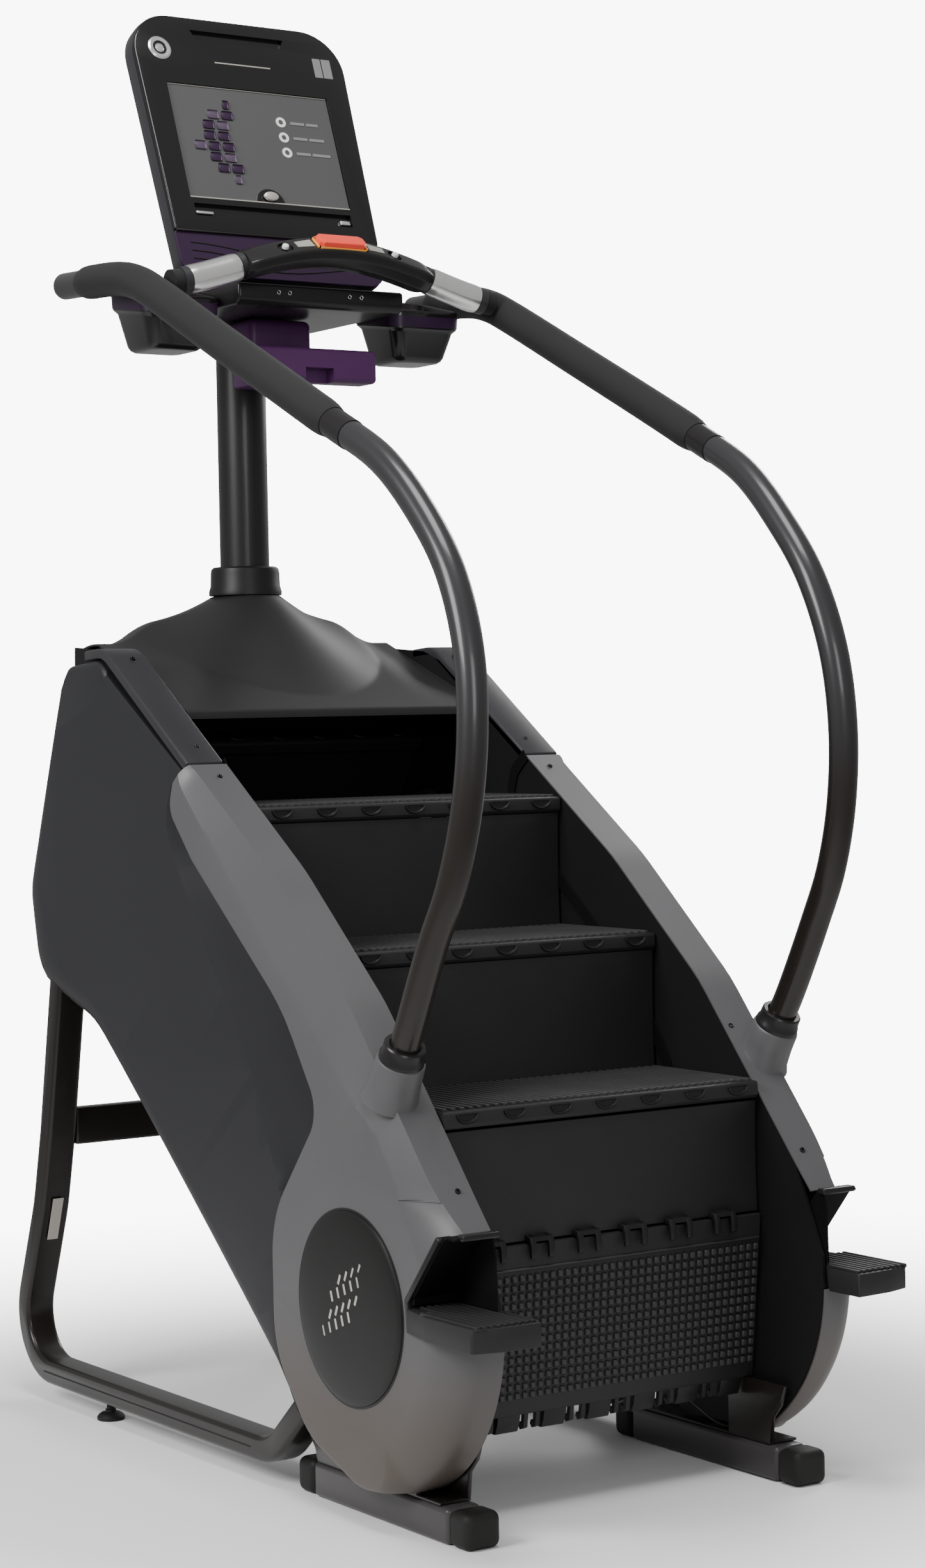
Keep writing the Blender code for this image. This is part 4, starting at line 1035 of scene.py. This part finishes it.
def deck_height(x, y):
    """Sloping deck, lower along its sides, with a trumpet-shaped foot for the mast inside an oval."""
    rise = min(1.0, (y - 0.200) / 0.288)
    crown = 0.5 - 0.5 * math.cos(math.pi * min(1.0, max(0.0, (abs(x) - 0.16) / 0.09)))
    deck = 1.125 + rise * (0.140 - 0.030 * crown) - 3.0 * max(0.0, y - 0.498) ** 2
    share = min(1.0, max(0.26, math.hypot(x / 0.208, (y - 0.488) / 0.248)))
    rim = math.exp(-0.74 / 0.5)
    return deck + (1.312 - deck) * (math.exp(-(share - 0.26) / 0.5) - rim) / (1 - rim)


def make_deck():
    columns, rows = 110, 72
    xs = [(2 * i / columns - 1) * 0.2735 for i in range(columns + 1)]
    lines = [[(x, 0.200 - dy, deck_height(x, 0.200) - dz) for x in xs]
             for dy, dz in ((0.0035, 0.0140), (0.0040, 0.0050), (0.0025, 0.0014))]
    for j in range(rows + 1):
        y = 0.200 + 0.360 * j / rows
        lines.append([(x, y, deck_height(x, y)) for x in xs])
    lines[-1] = [(x, 0.5585, z - 0.0010) for x, y, z in lines[-1]]
    lines.append([(x, 0.5600, z - 0.0045) for x, y, z in lines[-1]])
    lines.append([(x, 0.5600, 1.2140) for x in xs])
    bm = bmesh.new()
    grid = [[bm.verts.new(p) for p in line] for line in lines]
    for near, far in zip(grid, grid[1:]):
        for i in range(columns):
            bm.faces.new((near[i], near[i + 1], far[i + 1], far[i]))
    deck = to_mesh(bm, new_mesh("deck"), outward=False)
    solid(deck, 0.0035)
    hole = turned("hole", [(0, 0.2), (0.0425, 0.2), (0.0425, -0.2), (0, -0.2)], 64, Matrix.Translation((0, 0.488, 1.3)))
    boolean(deck, [hole])
    dress(deck, "deck", ROOT, "top_deck", 60)


def make_deck_lining():
    """Dark sheet under the deck's front edge and over the upper shaft, so that the opening is closed behind; its
    near-black is painted shade for the cavity under the deck.
    """
    line = [(0.215, 1.108), (0.330, 1.165), (0.420, 1.205), (0.500, 1.208), (0.552, 1.150), (0.556, 0.960)]
    lining = prism("lining", ribbon(filleted([(y, z, 0 if i in (0, 5) else 0.03) for i, (y, z) in enumerate(line)],
                                             closed=False), 0.0012), -0.2725, 0.2725)
    dress(lining, "painted_shade", ROOT)


def make_mast():
    place = Matrix.Translation((0, 0.488, 0))
    tube_piece = turned("mast_tube", [(0.0405, 1.7535), (0.0405, 1.119), (0.0365, 1.119), (0.0365, 1.7535)], 64, place,
                        ring=True)
    dress(tube_piece, "mast", ROOT, "mast")
    collar = turned("mast_ring", [(0.0413, 1.3135), (0.0600, 1.3135), (0.0602, 1.3200), (0.0575, 1.3290), (0.0568, 1.3500),
                                  (0.0555, 1.3570), (0.0520, 1.3600), (0.0413, 1.3600)], 64, place, ring=True)
    dress(collar, "black", ROOT, "mast_collar")

    head = block("head", (-0.058, 0.352, 1.698), (0.058, 0.446, 1.7535), 0.012, 4)
    dress(head, "purple", ROOT, "mast_head_cover")
    rest = block("rest", (-0.110, 0.238, 1.642), (0.110, 0.292, 1.695), 0.008, 4)
    notch = block("notch", (-0.024, 0.230, 1.630), (0.028, 0.262, 1.664))
    boolean(rest, [notch])
    neck = block("neck", (-0.040, 0.2915, 1.648), (0.040, 0.4465, 1.690), 0.006, 3)
    dress(joined_mesh("accessory_rest", [rest, neck]), "purple", ROOT, "accessory_box")


# ---------------------------------------------------------------- console


def console_outline(half_low, half_top, low, top, radius_top=0.075, radius_low=0.030):
    corners = [(-half_low, low, radius_low), (half_low, low, radius_low),
               (half_top, top, radius_top), (-half_top, top, radius_top)]
    return filleted(corners, turn=math.radians(8))


def console_loft(name, layers):
    """Skin through console outlines given as (depth, shrink)."""
    rings = []
    for depth, shrink, (half_low, half_top, low, top, r_top, r_low) in layers:
        outline = console_outline(half_low - shrink, half_top - shrink, low + shrink, top - shrink,
                                  max(0.002, r_top - shrink * 0.6), max(0.002, r_low - shrink * 0.6))
        rings.append([(p.x, p.y, depth) for p in outline])
    return loft(name, rings)


def on_console(obj):
    obj.data.transform(CONSOLE_PLACE)
    return obj


def make_console():
    body = (0.188, 0.200, 0.013, 0.484, 0.075, 0.030)
    shell = console_loft("shell", [
        (-0.0045, 0.0, body), (-0.0100, -0.0006, body), (-0.0290, 0.0, body), (-0.0340, 0.0030, body),
        (-0.0440, 0.0130, body), (-0.0540, 0.0240, body), (-0.0585, 0.0310, body), (-0.0600, 0.0370, body),
    ])
    dress(on_console(shell), "strip", ROOT, "console_shell", 50)

    face = (0.189, 0.199, 0.0905, 0.483, 0.074, 0.004)
    bezel = console_loft("bezel", [(-0.0040, 0.0, face), (0.0020, 0.0, face), (0.0034, 0.0008, face),
                                   (0.0040, 0.0024, face)])
    window = block("window", (-0.150, 0.150, -0.02), (0.150, 0.358, 0.02))
    vent = loft("vent", [[(-0.088, 0.4600, z), (-0.079, 0.4430, z), (0.079, 0.4430, z), (0.088, 0.4600, z)]
                         for z in (-0.0025, 0.02)])
    ledge_slot = block("ledge_slot", (-0.146, 0.1180, -0.0030), (0.146, 0.1400, 0.02))
    boolean(bezel, [window, vent, ledge_slot])
    dress(on_console(bezel), "gloss", ROOT, "console_bezel", 40)

    screen = block("screen", (-0.1495, 0.1505, -0.0035), (0.1495, 0.3575, 0.0010), 0.0005, 1)
    dress(on_console(screen), "screen", ROOT, "console_screen")
    edges = [block("edge_low", (-0.149, 0.1502, 0.0008), (0.149, 0.1530, 0.0034), 0.0006, 1),
             block("edge_high", (-0.149, 0.3560, 0.0008), (0.149, 0.3572, 0.0026), 0.0004, 1)]
    dress(on_console(joined_mesh("screen_edges", edges)), "satin_silver", ROOT)

    cells, pale = [], []
    for row, (shift, count) in enumerate(((0.020, 1), (0.010, 2), (0.000, 2), (-0.012, 3), (-0.004, 2),
                                          (-0.002, 2), (0.010, 2), (0.024, 1))):
        for k in range(count):
            u = -0.072 + shift + 0.026 * (k - (count - 1) / 2)
            v = 0.190 + 0.0195 * row
            half = 0.0105 if count > 1 else 0.006
            box = block(f"cell_{row}_{k}", (u - half, v - 0.0075, 0.0010), (u + half, v + 0.0075, 0.0016), 0.0025, 2)
            (pale if (row + k) % 3 == 0 else cells).append(box)
    dress(on_console(joined_mesh("screen_cells", cells)), "cell", ROOT)
    dress(on_console(joined_mesh("screen_cells_pale", pale)), "cell_pale", ROOT)
    icons, bars = [], []
    for k in range(3):
        v = 0.305 - 0.028 * k
        spot = Matrix.Translation((0.052, v, 0.0010))
        icons.append(turned(f"icon_{k}", [(0.0045, 0.0007), (0.0092, 0.0007), (0.0092, 0), (0.0045, 0)], 28, spot, ring=True))
        for j, (start, end) in enumerate(((0.070, 0.096), (0.100, 0.122 + 0.006 * k))):
            bars.append(block(f"bar_{k}_{j}", (start, v - 0.003, 0.0010), (end, v + 0.003, 0.0015), 0.0008, 1))
    dress(on_console(joined_mesh("screen_icons", icons)), "white", ROOT)
    dress(on_console(joined_mesh("screen_bars", bars)), "grey_print", ROOT)

    emblem = joined_mesh("emblem", [
        turned("ring", [(0.0125, 0.0052), (0.0175, 0.0056), (0.0205, 0.0040), (0.0205, 0.0035), (0.0125, 0.0035)], 48,
               Matrix.Translation((-0.150, 0.420, 0.0002)), ring=True),
        turned("dot", [(0, 0.0062), (0.0060, 0.0058), (0.0080, 0.0040), (0, 0.0040)], 36,
               Matrix.Translation((-0.150, 0.420, 0.0))),
    ])
    dress(on_console(emblem), "silver", ROOT)
    badge = joined_mesh("badge", [
        block("badge_a", (0.138, 0.396, 0.0038), (0.153, 0.432, 0.0046), 0.0006, 1),
        block("badge_b", (0.155, 0.396, 0.0038), (0.172, 0.432, 0.0046), 0.0006, 1),
    ])
    dress(on_console(badge), "grey_print", ROOT)
    line = block("strip_mark", (-0.052, 0.4020, 0.0039), (0.052, 0.4045, 0.0044), 0.0004, 1)
    dress(on_console(line), "satin_silver", ROOT)

    ledge = (0.188, 0.190, 0.013, 0.0894, 0.004, 0.030)
    lower = console_loft("lower", [(-0.0040, 0.0, ledge), (0.0004, 0.0, ledge), (0.0010, 0.0008, ledge)])
    dress(on_console(lower), "violet", ROOT, "console_lower_panel")
    contours = []
    for k in range(3):
        path = [Vector((-0.165 + 0.0275 * i, 0.070 - 0.014 * k - 0.016 * math.sin(math.pi * i / 12) ** 2, 0.0012))
                for i in range(13)]
        contours.append(tube(f"contour_{k}", path, 0.0011, 8))
    dress(on_console(joined_mesh("panel_contours", contours)), "satin", ROOT)
    rim = block("panel_rim", (-0.187, 0.0880, -0.0020), (0.187, 0.0910, 0.0052), 0.0010, 2)
    dress(on_console(rim), "satin", ROOT)
    pins = [block("pin_a", (-0.143, 0.1230, -0.0025), (-0.112, 0.1275, 0.0020), 0.0010, 2),
            block("pin_b", (0.126, 0.1230, -0.0025), (0.144, 0.1300, 0.0020), 0.0010, 2)]
    dress(on_console(joined_mesh("ledge_clips", pins)), "silver", ROOT)

    button = turned("home", [(0, 0.0092), (0.0105, 0.0090), (0.0135, 0.0080), (0.0142, 0.0060), (0.0142, 0.0046),
                             (0, 0.0046)], 48)
    button.data.transform(Matrix.Translation((0, 0.162, 0)) @ Matrix.Diagonal((0.95, 0.56, 1, 1)))
    dress(on_console(button), "satin_silver", "home_button", "home_button")
    housing = []
    for k in range(25):
        a = math.pi * k / 24
        housing.append((0.026 * math.cos(a), 0.151 + 0.026 * math.sin(a)))
    ring = loft("home_ring", [[(x, y, z) for x, y in housing] for z in (0.0012, 0.0024)])
    dress(on_console(ring), "gloss", ROOT)

    bracket = prism("bracket", [(0.232, 1.755), (0.222, 1.764), (0.222, 1.789), (0.540, 1.789), (0.540, 1.770),
                                (0.525, 1.755)], -0.152, 0.152)
    rounded(bracket, 0.005, 3)
    dress(bracket, "satin", ROOT, "console_bracket")
    screws = [screw(f"bracket_screw_{i}", facing((x, 0.2216, 1.776), (0, -1, 0)), 0.0035)
              for i, x in enumerate((-0.080, -0.060, 0.050, 0.072))]
    dress(joined_mesh("bracket_screws", screws), "silver", ROOT)


# ---------------------------------------------------------------- handlebar


def bar_drop(x):
    return 1.28 * x**2 - 6.3 * x**4


def bar_point(x):
    return Vector((x, 0.190 - 0.10 * x**2, 1.838 - bar_drop(x)))


FACE_TILT = math.atan2(0.0225, 0.028)


def on_face(x, up=0.0):
    """A place on the housing's sloping face."""
    centre = bar_point(x)
    middle = Vector((x, centre.y - 0.024, centre.z + 0.01125))
    normal = Vector((0, -math.sin(FACE_TILT), math.cos(FACE_TILT)))
    slope = math.atan((bar_drop(x + 0.001) - bar_drop(x - 0.001)) / 0.002)
    return Matrix.Translation(middle + normal * up) @ Matrix.Rotation(slope, 4, "Y") @ Matrix.Rotation(FACE_TILT, 4, "X")


def make_handlebar():
    reach = 0.2945
    bar = tube("bar", [bar_point(-reach + 2 * reach * k / 60) for k in range(61)], 0.019, 36)
    dress(bar, "foam", ROOT, "handlebar")

    section = [(-0.032, -0.014, 0.006), (-0.038, 0.000, 0.006), (-0.010, 0.0225, 0.009), (0.026, 0.0245, 0.006),
               (0.034, 0.016, 0.005), (0.034, -0.010, 0.008), (0.020, -0.0225, 0.008), (-0.014, -0.0240, 0.006)]
    ring_points = filleted(section[::-1], turn=math.radians(14))
    rings = []
    for k in range(43):
        x = -0.166 + 0.332 * k / 42
        end = max(0.0, (abs(x) - 0.150) / 0.016)
        grow = 1 - 0.10 * end**2
        centre = bar_point(x)
        rings.append([(x, centre.y + p.x * grow, centre.z + p.y * grow) for p in ring_points])
    housing = loft("housing", rings)
    stop_pocket = block("stop_pocket", (-0.046, -0.0165, -0.0042), (0.046, 0.0165, 0.03), 0, 1, on_face(0))
    pockets = [stop_pocket]
    for i, x in enumerate((-0.100, 0.100)):
        pockets.append(turned(f"pocket_{i}", [(0, 0.03), (0.0135, 0.03), (0.0125, -0.004), (0, -0.004)], 32, on_face(x)))
    boolean(housing, pockets)
    dress(housing, "satin", ROOT, "handlebar_housing", 36)

    rim = loft("rim", [[(x, y, z) for x, y in ((-0.0455, -0.0120), (-0.0400, -0.0160), (0.0400, -0.0160), (0.0455, -0.0120),
                                               (0.0455, 0.0120), (0.0400, 0.0160), (-0.0400, 0.0160), (-0.0455, 0.0120))]
                       for z in (-0.0038, 0.0012)])
    boolean(rim, [block("rim_hole", (-0.0433, -0.0146, -0.01), (0.0433, 0.0146, 0.01))])
    rounded(rim, 0.0008, 2)
    rim.data.transform(on_face(0))
    dress(rim, "amber", ROOT)
    rings = []
    for z, shrink in ((-0.0005, 0.0), (0.0060, 0.0), (0.0080, 0.0010), (0.0088, 0.0028), (0.0090, 0.0060)):
        a, b = 0.0425 - shrink, 0.0138 - shrink
        rings.append([(x, y, z) for x, y in ((-a, -b * 0.60), (-a + 0.006, -b), (a - 0.006, -b), (a, -b * 0.60),
                                             (a, b * 0.60), (a - 0.006, b), (-a + 0.006, b), (-a, b * 0.60))])
    stop = loft("stop", rings)
    stop.data.transform(on_face(0))
    dress(stop, "red", "stop_button", "stop_button")

    plates = []
    for side in (-1, 1):
        x = side * 0.0665
        plate = loft(f"plate_{side}", [[(side * u, v, z) for u, v in ((-0.016, -0.0085), (0.013, -0.0060), (0.013, 0.0085),
                                                                      (-0.016, 0.0100))] for z in (-0.001, 0.0012)])
        plate.data.transform(on_face(x))
        plates.append(plate)
    dress(joined_mesh("button_plates", plates), "satin_silver", ROOT)
    for name, x in (("toggle_left", -0.100), ("toggle_right", 0.100)):
        knob = turned(name, [(0, 0.0056), (0.0030, 0.0054), (0.0048, 0.0044), (0.0055, 0.0020), (0.0055, -0.0008),
                             (0, -0.0008)], 28, on_face(x))
        dress(knob, "white", name, name)

    line = [bar_point(0.176 + 0.088 * k / 12) for k in range(13)]
    plate = tube("plate", line, [0.0215] + [0.0225] * 11 + [0.0215], 40)
    dress_pair(plate, "pulse_grip", "silver", "pulse_plate")
    sleeves = [tube("sleeve_a", [bar_point(0.2650 + 0.0030 * k) for k in range(5)], 0.0215, 36),
               tube("sleeve_b", [bar_point(0.1655 + 0.0030 * k) for k in range(4)], 0.0212, 36)]
    dress_pair(joined_mesh("sleeves", sleeves), "grip_sleeves", "strip")


# ---------------------------------------------------------------- handrails and cups

RAIL_LOW = [
    (0.3235, -0.4690, 0.6360), (0.3270, -0.5080, 0.7000), (0.3280, -0.5640, 0.8040),
    (0.3240, -0.6070, 0.8840), (0.3190, -0.6370, 0.9800), (0.3140, -0.6480, 1.0840),
    (0.3090, -0.6360, 1.1910), (0.3060, -0.5940, 1.2940), (0.3070, -0.5270, 1.3780),
    (0.3120, -0.4390, 1.4560), (0.3180, -0.3220, 1.5160),
]
RAIL_HIGH = [
    (0.3210, -0.2110, 1.5700), (0.3230, -0.0120, 1.6650), (0.3230, 0.1650, 1.7500),
    (0.3230, 0.2350, 1.7790), (0.3240, 0.3000, 1.7920), (0.3260, 0.4000, 1.7980),
    (0.3290, 0.4700, 1.8010),
]


def make_handrails():
    span = 8
    line = smooth_path(RAIL_LOW + RAIL_HIGH, span)
    end = line[-1]
    back = (line[-1] - line[-2]).normalized()
    radii = [0.021] * len(line)
    cap = [end - back * 0.004, end - back * 0.0015, end]
    rail = tube("rail", line[:-1] + cap, radii[:-1] + [0.021, 0.0200, 0.0165], 40)
    dress_pair(rail, "rail_tube", "rail", "handrail")
    grip_line = line[10 * span:16 * span + 1]
    count = len(grip_line)
    sizes = []
    for k in range(count):
        edge = min(k, count - 1 - k)
        sizes.append(0.0265 - (0.0035, 0.0008, 0.0)[min(edge, 2)])
    grip = tube("grip", grip_line, sizes, 40)
    for piece in dress_pair(grip, "foam_sleeve", "foam", "foam_grip"):
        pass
    trim = []
    for start in (10 * span - 3, ):
        trim.append(tube("trim", line[start:start + 4], 0.0222, 36))
    dress_pair(joined_mesh("foam_ends", trim), "foam_end", "satin")


def cup_outline(half, z, slant, chamfer=0.38):
    corner = half * chamfer
    corners = [(-half, -half, corner), (half, -half, corner), (half, half, corner), (-half, half, corner)]
    return [(0.2250 + p.x, 0.3300 + p.y, z + slant * p.y) for p in filleted(corners, turn=math.radians(15))]


def make_cups():
    layers = [(0.0300, 1.6870, 0), (0.0400, 1.6875, 0), (0.0445, 1.6905, 0), (0.0480, 1.6960, 0),
              (0.0600, 1.7420, 0.14), (0.0635, 1.7455, 0.14), (0.0662, 1.7480, 0.14), (0.0680, 1.7790, 0.24),
              (0.0680, 1.7820, 0.24), (0.0668, 1.7838, 0.24), (0.0650, 1.7825, 0.24), (0.0625, 1.7600, 0.2),
              (0.0440, 1.6960, 0), (0.0400, 1.6920, 0), (0.0300, 1.6915, 0)]
    cup = loft("cup", [cup_outline(*layer) for layer in layers])
    dress_pair(cup, "cup", "cup", "cup_holder")
    band = loft("band", [cup_outline(half, z, slant) for half, z, slant in
                         ((0.0655, 1.7500, 0.14), (0.0672, 1.7505, 0.14), (0.0684, 1.7740, 0.235), (0.0668, 1.7745, 0.235))])
    dress_pair(band, "cup_band", "violet")


# ---------------------------------------------------------------- carried-over nodes


def dress_nodes():
    looks = {
        # the inner material darkens the side frames, crossbeam, brake and return steps: painted shade inside the
        # machine on top of their dark paint
        "inner": ["side_frame_left", "side_frame_right", "mast_crossbeam", "brake_unit", "return_steps"],
        "panel": ["back_cover"],
        "steel": ["lower_shaft", "upper_shaft", "brake_pulley"],
    }
    for material, names in looks.items():
        for name in names:
            data = NODES[name].data
            data.materials.clear()
            data.materials.append(LOOK[material])


LOOK = make_materials()
make_camera()
make_stage()
make_grey_covers()
make_bosses()
make_cover_screws()
make_side_panels()
make_top_strips()
make_wheel_covers()
make_platforms()
make_rear_frame()
make_steps()
make_deck()
make_deck_lining()
make_mast()
make_console()
make_handlebar()
make_handrails()
make_cups()
dress_nodes()
